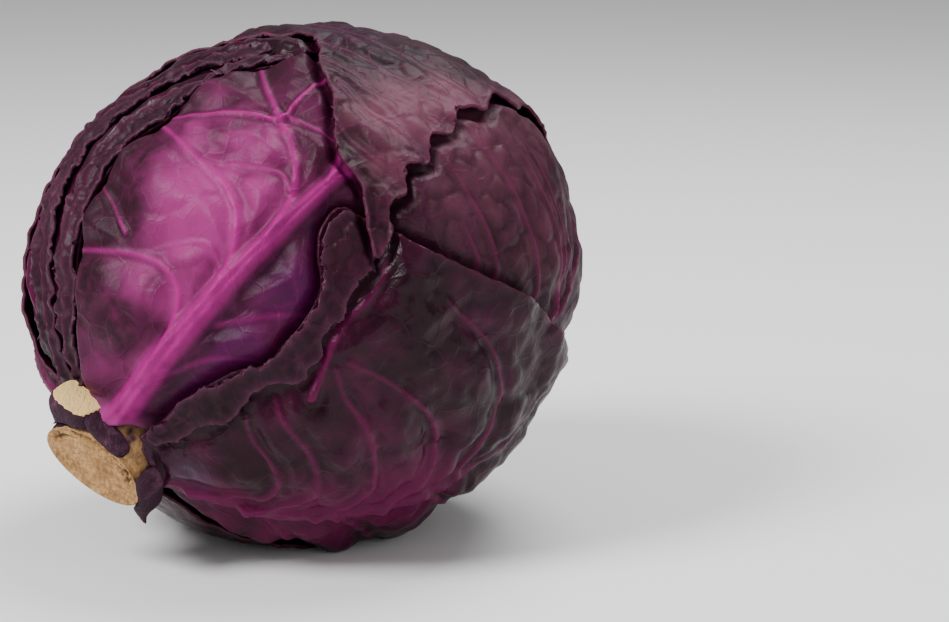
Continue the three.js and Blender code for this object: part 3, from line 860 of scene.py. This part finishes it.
def leaf_material(name, look):
    f = Finish(name)
    drift = f.noise(38.0, 3.0, 0.6)
    mottle = f.noise(140.0, 4.0, 0.6)
    grain = f.noise(1500.0, 2.0, 0.6)
    bent = f.bent(0.006, 90.0)
    coarse_net = f.spread(f.net(105.0, bent), 0.0, 0.07, 1.0, 0.0)
    fine_net = f.spread(f.net(330.0, bent), 0.0, 0.09, 1.0, 0.0)
    vein, tone_and_highlight, dusk = f.attribute("vein"), f.attribute("tone_and_highlight"), f.attribute("dusk")
    # Painted light: the lighter patches (partly the blade's own tone, partly painted highlight) and the
    # swelling quilt cells lighten the blade, and the creases between the cells stay darker as painted shade;
    # drift and mottle are its random tone.
    lightness = f.spread(f.sum((tone_and_highlight, 1.0), (drift, 0.75), (mottle, 0.35), (f.attribute("pillow"), 0.18)),
                         look.balance, look.balance + 0.85)
    colour = f.mix(lightness, tuple(look.dark), tuple(look.light))
    colour = f.mix(f.times(f.spread(dusk, 0.05, 0.8), f.spread(mottle, 0.3, 0.6, 0.55, 1.0)), colour,
                   tuple(look.dusk))
    # Violet patches: purple painted shade on the front leaf's right blade, lilac-grey painted highlight near
    # the stalk on the wrappers.
    colour = f.mix(f.spread(f.attribute("violet"), 0.1, 0.9), colour, tuple(look.violet))
    colour = f.mix(f.times(f.attribute("shade"), 0.9), colour, tuple(look.deep))
    colour = f.mix(f.times(coarse_net, look.net), colour, tuple(look.vein))
    colour = f.mix(f.times(fine_net, look.net * 0.5), colour, tuple(look.vein))
    streaky = f.spread(f.noise(240.0, 3.0), 0.3, 0.6, 0.65, 1.0)
    marked = f.times(f.times(f.spread(vein, 0.1, 1.0), look.vein_strength), streaky)
    colour = f.mix(marked, colour, tuple(look.vein))
    film = f.times(f.spread(f.noise(26.0, 4.0, 0.65), 0.42, 0.72), look.bloom)
    film = f.times(film, f.spread(grain, 0.2, 0.7, 0.6, 1.0))
    colour = f.mix(film, colour, tuple(look.film))
    colour = f.mix(f.times(f.attribute("rim"), look.rim_strength), colour, tuple(look.rim))
    colour = f.mix(f.times(f.spread(f.attribute("collar"), 0.35, 0.95), 0.5), colour, tuple(look.film))
    rough = f.sum((mottle, 0.22), (film, 0.3), (look.roughness, 1.0))
    f.bump((coarse_net, 0.00007), (fine_net, 0.00003), (mottle, 0.00022), (grain, 0.00002))
    f.set(Base_Color=colour, Roughness=rough, Subsurface_Weight=look.glow_through,
          Subsurface_Radius=(0.006, 0.0015, 0.003), Subsurface_Scale=0.5, Coat_Weight=look.wax,
          Specular_IOR_Level=look.gloss,
          Coat_Roughness=0.3)
    return f.material


def cut_wood_material(name, look):
    """The cut face and bare side of the stalk: pale wood with fibres, pores and a weathered rim."""
    f = Finish(name)
    patchy = f.noise(95.0, 5.0, 0.65)
    fibres = f.noise(1.0, 4.0, 0.65, f.stretched((900.0, 260.0, 500.0)))
    speck = f.noise(1100.0, 3.0, 0.75)
    grain = f.spread(f.sum((patchy, 0.7), (fibres, 0.6)), 0.42, 0.85)
    colour = f.mix(grain, tuple(look.deep), tuple(look.pale))
    colour = f.mix(f.times(f.spread(speck, 0.50, 0.66), 0.7), colour, tuple(look.deep))
    colour = f.mix(f.times(f.spread(f.noise(430.0, 2.0), 0.62, 0.72), 0.5), colour, tuple(look.rind))
    colour = f.mix(f.attribute("cream"), colour, tuple(look.cream))
    colour = f.mix(f.spread(f.attribute("pit"), 0.1, 0.8), colour, tuple(look.pit))
    colour = f.mix(f.times(f.attribute("rim"), 0.6), colour, tuple(look.rind))
    skin = f.mix(f.spread(patchy, 0.5, 0.72, 0.0, 0.7), tuple(look.skin), tuple(look.skin_light))
    skin = f.mix(f.times(f.spread(speck, 0.58, 0.7), 0.35), skin, tuple(look.skin_light))
    colour = f.mix(f.spread(f.attribute("skin"), 0.35, 0.65), colour, skin)
    f.bump((patchy, 0.0009), (fibres, 0.0006), (speck, 0.0003))
    f.set(Base_Color=colour, Roughness=0.7, Specular_IOR_Level=0.2)
    return f.material


# ---- stalk ------------------------------------------------------------------
def loft(name, columns, rows, shape_at):
    """A closed skin wrapped from a grid: columns go round and rows from one end to the other."""
    deselect()
    bpy.ops.mesh.primitive_grid_add(x_subdivisions=columns, y_subdivisions=rows, size=1.0)
    obj = bpy.context.active_object
    co = corners_of(obj)
    turn = (co[:, 0] + 0.5) * 2 * math.pi
    points = shape_at(turn, co[:, 1] + 0.5)
    place_corners(obj, to_row(points))
    edit(obj, "VERT",
         lambda: bpy.ops.mesh.select_all(action="SELECT"),
         lambda: bpy.ops.mesh.remove_doubles(threshold=2e-6),
         lambda: bpy.ops.mesh.normals_make_consistent(inside=False))
    obj.name = name
    return obj


def stalk_points(turn, t):
    """From the core's tip, down the side, round the cut's rim and in to the middle of the cut."""
    side_share = 0.6
    down = np.clip(t / side_share, 0, 1) ** 0.8
    z = STALK_RINGS[0][0] + (STALK_RINGS[-1][0] - STALK_RINGS[0][0]) * down
    height, width, _, _ = stalk_section(z)
    inward = np.clip((t - side_share) / (1 - side_share), 0, 1)
    scale = np.where(down < 0.04, down / 0.04, 1.0) * (1 - inward)
    ring = np.stack([np.cos(turn), np.sin(turn), z / 12.0], -1)
    on_side = (inward == 0) * ease(-60, -80, z)
    rough = on_side * (0.8 * swell(ring * [2.6, 2.6, 0.6], 1.0, 31, 4) + 0.5 * swell(ring * 1.2, 1.0, 35, 2))
    round_rim = 1.0 - 0.05 * ease(0.95, 1.0, down)
    height = np.where(np.cos(turn) < 0, height * STALK_FLATTENED, height)
    short = (height * scale * round_rim + rough - 0.2 * on_side) * np.cos(turn)
    long = (width * scale * round_rim + rough - 0.2 * on_side) * np.sin(turn)
    points = from_stalk(short, long, z)
    points[:, 2] += CUT_SLOPE * points[:, 1] * ease(-84, -98, z)
    face = points[:, :2]
    dish = (inward > 0) * ease(0.0, 0.1, inward)
    grain = np.stack([short * 0.7, long * 0.25], -1)
    points[:, 2] += dish * (0.55 * swell(face, 6.0, 41, 4) + 0.45 * swell(grain, 1.0, 45, 3) + 0.3)
    points[:, 2] += dish * 1.3 * pit_depth(short, long, 1 - inward)
    return points


def pit_depth(short, long, ratio):
    """A groove with dark pits inside the upper part of the cut's rim."""
    groove = np.exp(-((ratio - 0.80) / 0.085) ** 2) * ease(-0.25, 0.45, short / np.hypot(short, long + 1e-6))
    spots = swell(np.stack([short, long], -1), 1.25, 47, 3)
    return groove * np.clip(0.5 + 2.0 * spots, 0, 1)


def build_stalk(look):
    obj = loft("stalk_core", look.sides, look.rings, stalk_points)
    local = (corners_of(obj) - HEAD_CENTRE) / MM @ HEAD_AXES.T
    short, long, height, width = across_stalk(local)
    ratio = np.hypot(short / height, long / width)
    level = local[:, 2] - CUT_SLOPE * local[:, 1]
    cut = level < -96.3
    write_attribute(obj, "pit", np.where(cut, pit_depth(short, long, ratio), 0.0))
    write_attribute(obj, "rim", np.exp(-((ratio - 0.99) / 0.03) ** 2))
    top = np.exp(-((np.arctan2(local[:, 1], local[:, 0]) + 0.35) / 0.75) ** 2)
    skin = (0.25 + 0.9 * top + 0.8 * swell(local, 5.0, 51, 3)) * ease(-98.5, -96.5, level)
    write_attribute(obj, "skin", np.where(cut & (ratio < 0.93), 0.0, np.clip(skin, 0, 1)))
    smooth(obj)
    return obj


# ---- stem stubs -------------------------------------------------------------
# Each is a lump grown on the stalk: middle, half sizes, turn about the stalk's line, and the
# plane of the cut that trimmed the stem off, as a point and a direction.
STUBS = (
    dict(name="upper_stem_stub", at=(12.5, -2.5, -91.0), size=(9.0, 9.5, 7.0), turn=8,
         cut=((17.6, 1.0, -89.5), (0.84, 0.30, 0.16)), pale_cut=True),
    dict(name="front_stem_stub", at=(9.0, 10.8, -93.4), size=(8.4, 2.0, 3.4), turn=-40,
         cut=((8.0, 16.0, -98.0), (-0.2, 0.6, -0.8)), pale_cut=False),
    dict(name="right_stem_stub", at=(-13.0, 16.0, -91.5), size=(9.5, 3.0, 5.2), turn=34,
         cut=((-12.0, 20.5, -94.0), (-0.5, 0.85, -0.2)), pale_cut=False,
         shred=((-20.0, 11.0, -94.5), (-25.0, 10.5, -94.0))),
)


def build_stub(stub):
    deselect()
    bpy.ops.mesh.primitive_ico_sphere_add(subdivisions=5, radius=1.0)
    obj = bpy.context.active_object
    n = corners_of(obj)
    blocky = n / (np.abs(n) ** 3.2).sum(-1, keepdims=True) ** (1 / 3.2)
    turn = math.radians(stub["turn"])
    spin = np.array([[math.cos(turn), math.sin(turn), 0], [-math.sin(turn), math.cos(turn), 0], [0, 0, 1]])
    ridges = 1 + 0.05 * swell(n * [3.0, 3.0, 0.8], 1.0, 61, 3)
    points = blocky * stub["size"] * ridges[:, None] @ spin + stub["at"]
    # the lump is pressed against the stalk and the head, and keeps clear of both
    short, long, height, width = across_stalk(points, 0.35)
    ratio = np.hypot(short / height, long / width)
    out = np.maximum(ratio, 1.0) / ratio
    points = from_stalk(short * out, long * out, points[:, 2])
    if "shred" in stub:                                 # a torn strip, drawn out to a point
        root, tip = (np.array(place) for place in stub["shred"])
        away = np.linalg.norm(points - root, axis=-1)
        points += (tip - root) * np.exp(-(away / 1.6) ** 2)[:, None]
    radius = np.linalg.norm(points, axis=-1)
    clear = free_radius(points / radius[:, None]) + 0.4
    points *= (np.maximum(radius, clear) / radius)[:, None]
    place_corners(obj, to_row(points))
    where, facing = (np.array(v, float) for v in stub["cut"])
    edit(obj, "FACE",
         lambda: bpy.ops.mesh.select_all(action="SELECT"),
         lambda: bpy.ops.mesh.bisect(plane_co=to_row(where), plane_no=facing @ HEAD_AXES,
                                     use_fill=True, clear_outer=True))
    obj.data.materials.clear()
    apply_modifier(obj, "BEVEL", width=0.0005, segments=2, limit_method="ANGLE")
    active(obj)
    bpy.ops.object.shade_smooth_by_angle(angle=math.radians(40))
    local = (corners_of(obj) - HEAD_CENTRE) / MM @ HEAD_AXES.T
    on_cut = np.abs((local - where) @ (facing / np.linalg.norm(facing))) < 0.35
    write_attribute(obj, "skin", np.where(on_cut & stub["pale_cut"], 0.0, 1.0))
    write_attribute(obj, "rim", np.zeros(len(local)))
    write_attribute(obj, "pit", np.zeros(len(local)))
    write_attribute(obj, "cream", on_cut & stub["pale_cut"])
    return obj


# ---- the leaves inside ------------------------------------------------------
def head_leaf_middle(index):
    return direction(index * HEAD_LEAF_TURN, HEAD_LEAF_MIDDLE)


def head_leaves_over(n, count):
    """How many of the first head leaves lie over each place."""
    over = np.zeros(len(n))
    for k in range(count):
        over += ease(-14.0, -1.0, HEAD_LEAF_REACH - angle_between(n, head_leaf_middle(k)))
    return over


def finish_inside(obj):
    """An inner leaf is plain: it has every mark of the leaf finish at nothing."""
    for name in LEAF_MARKS:
        write_attribute(obj, name, np.zeros(len(obj.data.vertices)))


def build_head_leaf(index, shape):
    """A thin hood inside the head, waved as tightly folded leaves are."""
    obj = leaf_net(HEAD_LEAF_DETAIL)
    n = unit(corners_of(obj))
    inside_by = HEAD_LEAF_REACH - angle_between(n, head_leaf_middle(index))
    kept = (inside_by[faces_of(obj)] > 0).any(-1)
    choose(obj, "polygons", ~kept)
    edit(obj, "FACE", lambda: bpy.ops.mesh.delete(type="FACE"))
    n = unit(corners_of(obj))
    radius = free_radius(n) - shape.wrapper_depth - HEAD_LEAF_PITCH * head_leaves_over(n, index)
    smallest = 4.0 + 0.3 * (HEAD_LEAF_COUNT - index)
    radius = np.maximum(radius + 0.7 * swell(n * radius[:, None], 14.0, 70 + index, 2), smallest)
    place_corners(obj, to_row(clear_of_stalk(n * radius[:, None])))
    finish_inside(obj)
    apply_modifier(obj, "SOLIDIFY", thickness=shape.leaf_thickness, offset=-1.0)
    smooth(obj)
    return obj


def build_heart(shape):
    """The smallest leaves, one tight mass with wandering creases."""
    obj = leaf_net(HEART_DETAIL)
    n = unit(corners_of(obj))
    over = head_leaves_over(n, HEAD_LEAF_COUNT)
    radius = free_radius(n) - shape.wrapper_depth - HEAD_LEAF_PITCH * over - 1.5
    folds = np.abs(np.sin(3.0 * np.arctan2(n[:, 1], n[:, 0]) + 5.0 * n[:, 2] + swell(n, 0.6, 90)))
    radius = np.maximum(radius - 1.2 * (1 - folds) ** 3, 3.5)
    place_corners(obj, to_row(clear_of_stalk(n * radius[:, None])))
    finish_inside(obj)
    smooth(obj)
    return obj


# ---- settings ---------------------------------------------------------------
def colour_setting(name, description, colour):
    return FloatVectorProperty(name=name, description=description, subtype="COLOR", size=3,
                               min=0.0, max=1.0, default=colour)


def share_setting(name, description, value):
    return FloatProperty(name=name, description=description, subtype="FACTOR",
                         min=0.0, max=1.0, default=value)


class CabbageShape(PropertyGroup):
    """Sizes of the leaves."""
    leaf_thickness: FloatProperty(name="Leaf thickness", description="Thickness of a leaf's blade",
                                  unit="LENGTH", default=0.0011, min=0.0004, max=0.002)
    vein_height: FloatProperty(name="Vein height", description="How far veins stand out, against life",
                               default=1.0, min=0.0, max=2.0)
    quilting: FloatProperty(name="Quilting",
                            description="How far the blade swells between veins, against life",
                            default=1.0, min=0.0, max=2.0)
    waves: FloatProperty(name="Waves", description="How far the blade rolls, against life",
                         default=1.0, min=0.0, max=2.0)
    wrapper_depth: FloatProperty(name="Wrapper depth",
                                 description="Depth of the wrappers over the head leaves, mm",
                                 default=14.0, min=8.0, max=20.0)


def look_class(label, **values):
    """A group of leaf colours with its own defaults."""
    notes = {
        "dark": "Blade in its dark parts", "light": "Blade in its light parts",
        "vein": "Veins and midrib", "rim": "Thin margin", "film": "Waxy film",
        # violet: purple painted shade on the front leaf, lilac-grey painted highlight on the wrappers
        "dusk": "Dusky patches", "violet": "Violet patches", "deep": "Shaded side of the midrib",
    }
    shares = {
        "vein_strength": (0.8, "How strongly veins are coloured"),
        "net": (0.3, "Strength of the fine vein net"),
        "bloom": (0.25, "Strength of the waxy film"),
        "rim_strength": (0.5, "Strength of the margin's colour"),
        "glow_through": (0.08, "Light that passes through the blade"),
        "balance": (0.35, "Dark against light"),
        "roughness": (0.34, "Roughness of the leaf's skin"),
        "wax": (0.0, "Strength of the waxy gloss"),
        "gloss": (0.13, "Strength of reflections"),
    }
    made = {key: colour_setting(key.title(), note, values[key]) for key, note in notes.items()}
    for key, (default, note) in shares.items():
        made[key] = share_setting(key.replace("_", " ").title(), note, values.get(key, default))
    return type(label, (PropertyGroup,), {"__annotations__": made, "__doc__": f"Colours of the {label}."})


# The front leaf's violet is a purple painted shade on its right blade.
FrontLook = look_class(
    "CabbageFrontLook", dark=(0.030, 0.0003, 0.012), light=(0.24, 0.020, 0.130), vein=(0.32, 0.008, 0.165),
    rim=(0.14, 0.005, 0.06), film=(0.26, 0.06, 0.17), dusk=(0.014, 0.001, 0.005), deep=(0.014, 0.0001, 0.007),
    violet=(0.050, 0.0006, 0.036), bloom=0.05, net=0.04, vein_strength=0.8, balance=0.42, glow_through=0.04,
    roughness=0.36)
CrownLook = look_class(
    "CabbageCrownLook", dark=(0.0105, 0.0007, 0.004), light=(0.10, 0.026, 0.048), vein=(0.13, 0.002, 0.055),
    rim=(0.10, 0.02, 0.05), film=(0.10, 0.05, 0.08), dusk=(0.008, 0.0006, 0.004), deep=(0.008, 0.0006, 0.005),
    violet=(0.018, 0.001, 0.018), bloom=0.13, net=0.14, vein_strength=0.7, balance=0.46, roughness=0.36)
# The wrappers' violet is a lilac-grey painted highlight near the stalk.
WrapperLook = look_class(
    "CabbageWrapperLook", dark=(0.0095, 0.0002, 0.0035), light=(0.075, 0.0004, 0.030),
    vein=(0.105, 0.0006, 0.045), rim=(0.07, 0.01, 0.03), film=(0.05, 0.02, 0.04), dusk=(0.005, 0.0006, 0.002),
    deep=(0.005, 0.0004, 0.003), violet=(0.07, 0.035, 0.075), bloom=0.04, net=0.04, vein_strength=0.75,
    balance=0.48, roughness=0.22, gloss=0.15)
FoldLook = look_class(
    "CabbageFoldLook", dark=(0.0065, 0.0005, 0.0025), light=(0.038, 0.005, 0.017), vein=(0.075, 0.003, 0.035),
    rim=(0.10, 0.025, 0.06), film=(0.07, 0.035, 0.06), dusk=(0.006, 0.001, 0.003), deep=(0.006, 0.001, 0.004),
    violet=(0.04, 0.02, 0.05), bloom=0.12, net=0.10, vein_strength=0.5, balance=0.45, roughness=0.34)
InnerLook = look_class(
    "CabbageInnerLook", dark=(0.14, 0.02, 0.13), light=(0.6, 0.5, 0.62), vein=(0.75, 0.7, 0.75),
    rim=(0.2, 0.04, 0.16), film=(0.6, 0.5, 0.6), dusk=(0.1, 0.02, 0.1), deep=(0.1, 0.02, 0.1),
    violet=(0.3, 0.2, 0.4), bloom=0.1, net=0.3)


class CabbageStalkLook(PropertyGroup):
    """Sizes and colours of the stalk and its stubs."""
    sides: IntProperty(name="Sides", description="Faces round the stalk", default=170, min=24, max=400)
    rings: IntProperty(name="Rings", description="Faces along the stalk and its cut", default=130,
                       min=24, max=300)
    pale: colour_setting("Pale wood", "Palest part of the cut", (0.56, 0.33, 0.14))
    deep: colour_setting("Deep wood", "Darker fibres of the cut", (0.22, 0.10, 0.032))
    cream: colour_setting("Fresh cut", "Freshly cut stem", (0.74, 0.50, 0.20))
    pit: colour_setting("Pits", "Pores and pits", (0.045, 0.02, 0.008))
    rind: colour_setting("Rind", "Weathered rim of the cut", (0.13, 0.06, 0.025))
    skin: colour_setting("Skin", "Purple skin", (0.022, 0.003, 0.013))
    skin_light: colour_setting("Light skin", "Skin where it has worn pale", (0.13, 0.045, 0.085))


class CabbageStageLook(PropertyGroup):
    """Camera, floor and lights."""
    lens: FloatProperty(name="Lens", description="Focal length, mm", default=100.0, min=20.0, max=300.0)
    camera_height: FloatProperty(name="Camera rise", description="Angle the camera looks down at",
                                 subtype="ANGLE", default=math.radians(12))
    floor: colour_setting("Floor", "Pale floor", (0.86, 0.86, 0.86))
    key_power: FloatProperty(name="Key light", description="Main soft light", unit="POWER", default=30.0)
    fill_power: FloatProperty(name="Fill light", description="Weak light from the other side", unit="POWER",
                              default=5.0)


# ---- operators --------------------------------------------------------------


def settings(name):
    return getattr(bpy.context.scene, name)


def material_named(finish):
    name = f"{finish}_leaf_skin"
    return bpy.data.materials.get(name) or leaf_material(name, settings(f"cabbage_{finish}"))


class CABBAGE_OT_wrappers(Operator):
    """Build the nine wrapper leaves with their folded margins"""
    bl_idname = "cabbage.wrappers"
    bl_label = "Wrapper Leaves"

    def execute(self, context):
        shape = settings("cabbage_shape")
        laid = [prepared(leaf, 100 + 11 * k) for k, leaf in enumerate(LEAVES)]
        folds = {}
        for k, leaf in enumerate(laid):
            obj = build_sheet(leaf, laid[:k], shape)
            obj.data.materials.clear()
            obj.data.materials.append(material_named(leaf["finish"]))
            if "of" in leaf:
                obj.name = leaf["name"]
                folds.setdefault(leaf["of"], []).append(obj)
                continue
            active(obj)
            for fold in folds.get(leaf["name"], ()):
                fold.select_set(True)
            if len(bpy.context.selected_objects) > 1:
                bpy.ops.object.join()
            obj.name = leaf["name"] + "_skin"
            obj.data.name = obj.name
            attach(obj, "root")
            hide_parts(leaf["name"])
        return {"FINISHED"}


class CABBAGE_OT_head_leaves(Operator):
    """Build the folded leaves inside and the heart bud"""
    bl_idname = "cabbage.head_leaves"
    bl_label = "Head Leaves"

    def execute(self, context):
        shape = settings("cabbage_shape")
        material = leaf_material("inner_leaf_skin", settings("cabbage_inner"))
        for index in range(HEAD_LEAF_COUNT):
            node = f"head_leaf_{index + 1:02d}"
            finish_piece(build_head_leaf(index, shape), node + "_skin", material, "inner_leaf", node)
        finish_piece(build_heart(shape), "heart_bud_skin", material, "inner_leaf", "heart_bud")
        return {"FINISHED"}


class CABBAGE_OT_stalk(Operator):
    """Build the cut stalk and the stem stubs on it"""
    bl_idname = "cabbage.stalk"
    bl_label = "Stalk"

    def execute(self, context):
        look = settings("cabbage_stalk_look")
        wood = cut_wood_material("cut_wood", look)
        finish_piece(build_stalk(look), "stalk_core_skin", wood, "stalk", "stalk_core")
        for stub in STUBS:
            finish_piece(build_stub(stub), stub["name"] + "_skin", wood, "stem_stub", stub["name"])
        return {"FINISHED"}


SENSOR = 36.0
CAMERA_DISTANCE = 856.7         # from the camera to the point it aims at, mm
AIM_RIGHT = 54.76               # that point is this far right of the head's middle, mm
AIM_BELOW = 8.45                # and this far below it, mm
WORLD_STRENGTH = 0.4


def area_light(name, place, target, size, power, colour=(1, 1, 1)):
    data = bpy.data.lights.new(name, "AREA")
    data.shape = "DISK"
    data.size = size
    data.energy = power
    data.color = colour
    obj = bpy.data.objects.new(name, data)
    bpy.context.collection.objects.link(obj)
    obj.location = place
    obj.rotation_mode = "QUATERNION"
    obj.rotation_quaternion = (Vector(target) - Vector(place)).to_track_quat("-Z", "Y")


class CABBAGE_OT_stage(Operator):
    """Set the floor, the lights and the camera"""
    bl_idname = "cabbage.stage"
    bl_label = "Stage"

    def execute(self, context):
        look = settings("cabbage_stage")
        deselect()
        bpy.ops.mesh.primitive_plane_add(size=60.0, location=(0, 0, 0))
        floor = bpy.context.active_object
        floor.name = "floor"
        f = Finish("pale_floor")
        f.set(Base_Color=tuple(look.floor), Roughness=0.7)
        floor.data.materials.append(f.material)
        centre = Vector(HEAD_CENTRE)
        rise = look.camera_height
        back = Vector((0, -math.cos(rise), math.sin(rise)))
        up = Vector((0, math.sin(rise), math.cos(rise)))
        aim = centre + Vector((AIM_RIGHT, 0, 0)) * MM - up * AIM_BELOW * MM
        data = bpy.data.cameras.new("camera")
        data.lens = look.lens
        data.sensor_width = SENSOR
        camera = bpy.data.objects.new("camera", data)
        bpy.context.collection.objects.link(camera)
        camera.location = aim + back * CAMERA_DISTANCE * MM
        camera.rotation_mode = "QUATERNION"
        camera.rotation_quaternion = (-back).to_track_quat("-Z", "Y")
        bpy.context.scene.camera = camera
        area_light("key", centre + Vector((-0.85, -0.62, 1.0)), centre, 0.6, look.key_power)
        area_light("top", centre + Vector((0.35, 0.35, 1.1)), centre, 0.8, look.key_power * 0.5)
        area_light("fill", centre + Vector((1.1, -0.8, 0.35)), centre, 1.2, look.fill_power)
        world = bpy.data.worlds.new("pale_room")
        world.use_nodes = True
        background = world.node_tree.nodes["Background"]
        background.inputs["Color"].default_value = (1, 1, 1, 1)
        background.inputs["Strength"].default_value = WORLD_STRENGTH
        bpy.context.scene.world = world
        return {"FINISHED"}


class CABBAGE_PT_panel(Panel):
    """Lists the steps that build the cabbage"""
    bl_idname = "CABBAGE_PT_panel"
    bl_label = "Red Cabbage"
    bl_space_type = "VIEW_3D"
    bl_region_type = "UI"
    bl_category = "Red Cabbage"

    def draw(self, context):
        for step in OPERATORS:
            self.layout.operator(step.bl_idname)


GROUPS = {
    "cabbage_shape": CabbageShape, "cabbage_front": FrontLook, "cabbage_crown": CrownLook,
    "cabbage_wrapper": WrapperLook, "cabbage_fold": FoldLook, "cabbage_inner": InnerLook,
    "cabbage_stalk_look": CabbageStalkLook, "cabbage_stage": CabbageStageLook,
}
OPERATORS = (CABBAGE_OT_stage, CABBAGE_OT_wrappers, CABBAGE_OT_head_leaves, CABBAGE_OT_stalk)


def register():
    for kind in (*GROUPS.values(), *OPERATORS, CABBAGE_PT_panel):
        bpy.utils.register_class(kind)
    for name, kind in GROUPS.items():
        setattr(bpy.types.Scene, name, PointerProperty(type=kind))


def unregister():
    for name in GROUPS:
        delattr(bpy.types.Scene, name)
    for kind in reversed((*GROUPS.values(), *OPERATORS, CABBAGE_PT_panel)):
        bpy.utils.unregister_class(kind)


def main():
    register()
    bpy.ops.cabbage.stage()
    bpy.ops.cabbage.wrappers()
    bpy.ops.cabbage.head_leaves()
    bpy.ops.cabbage.stalk()


if __name__ == "__main__":
    main()
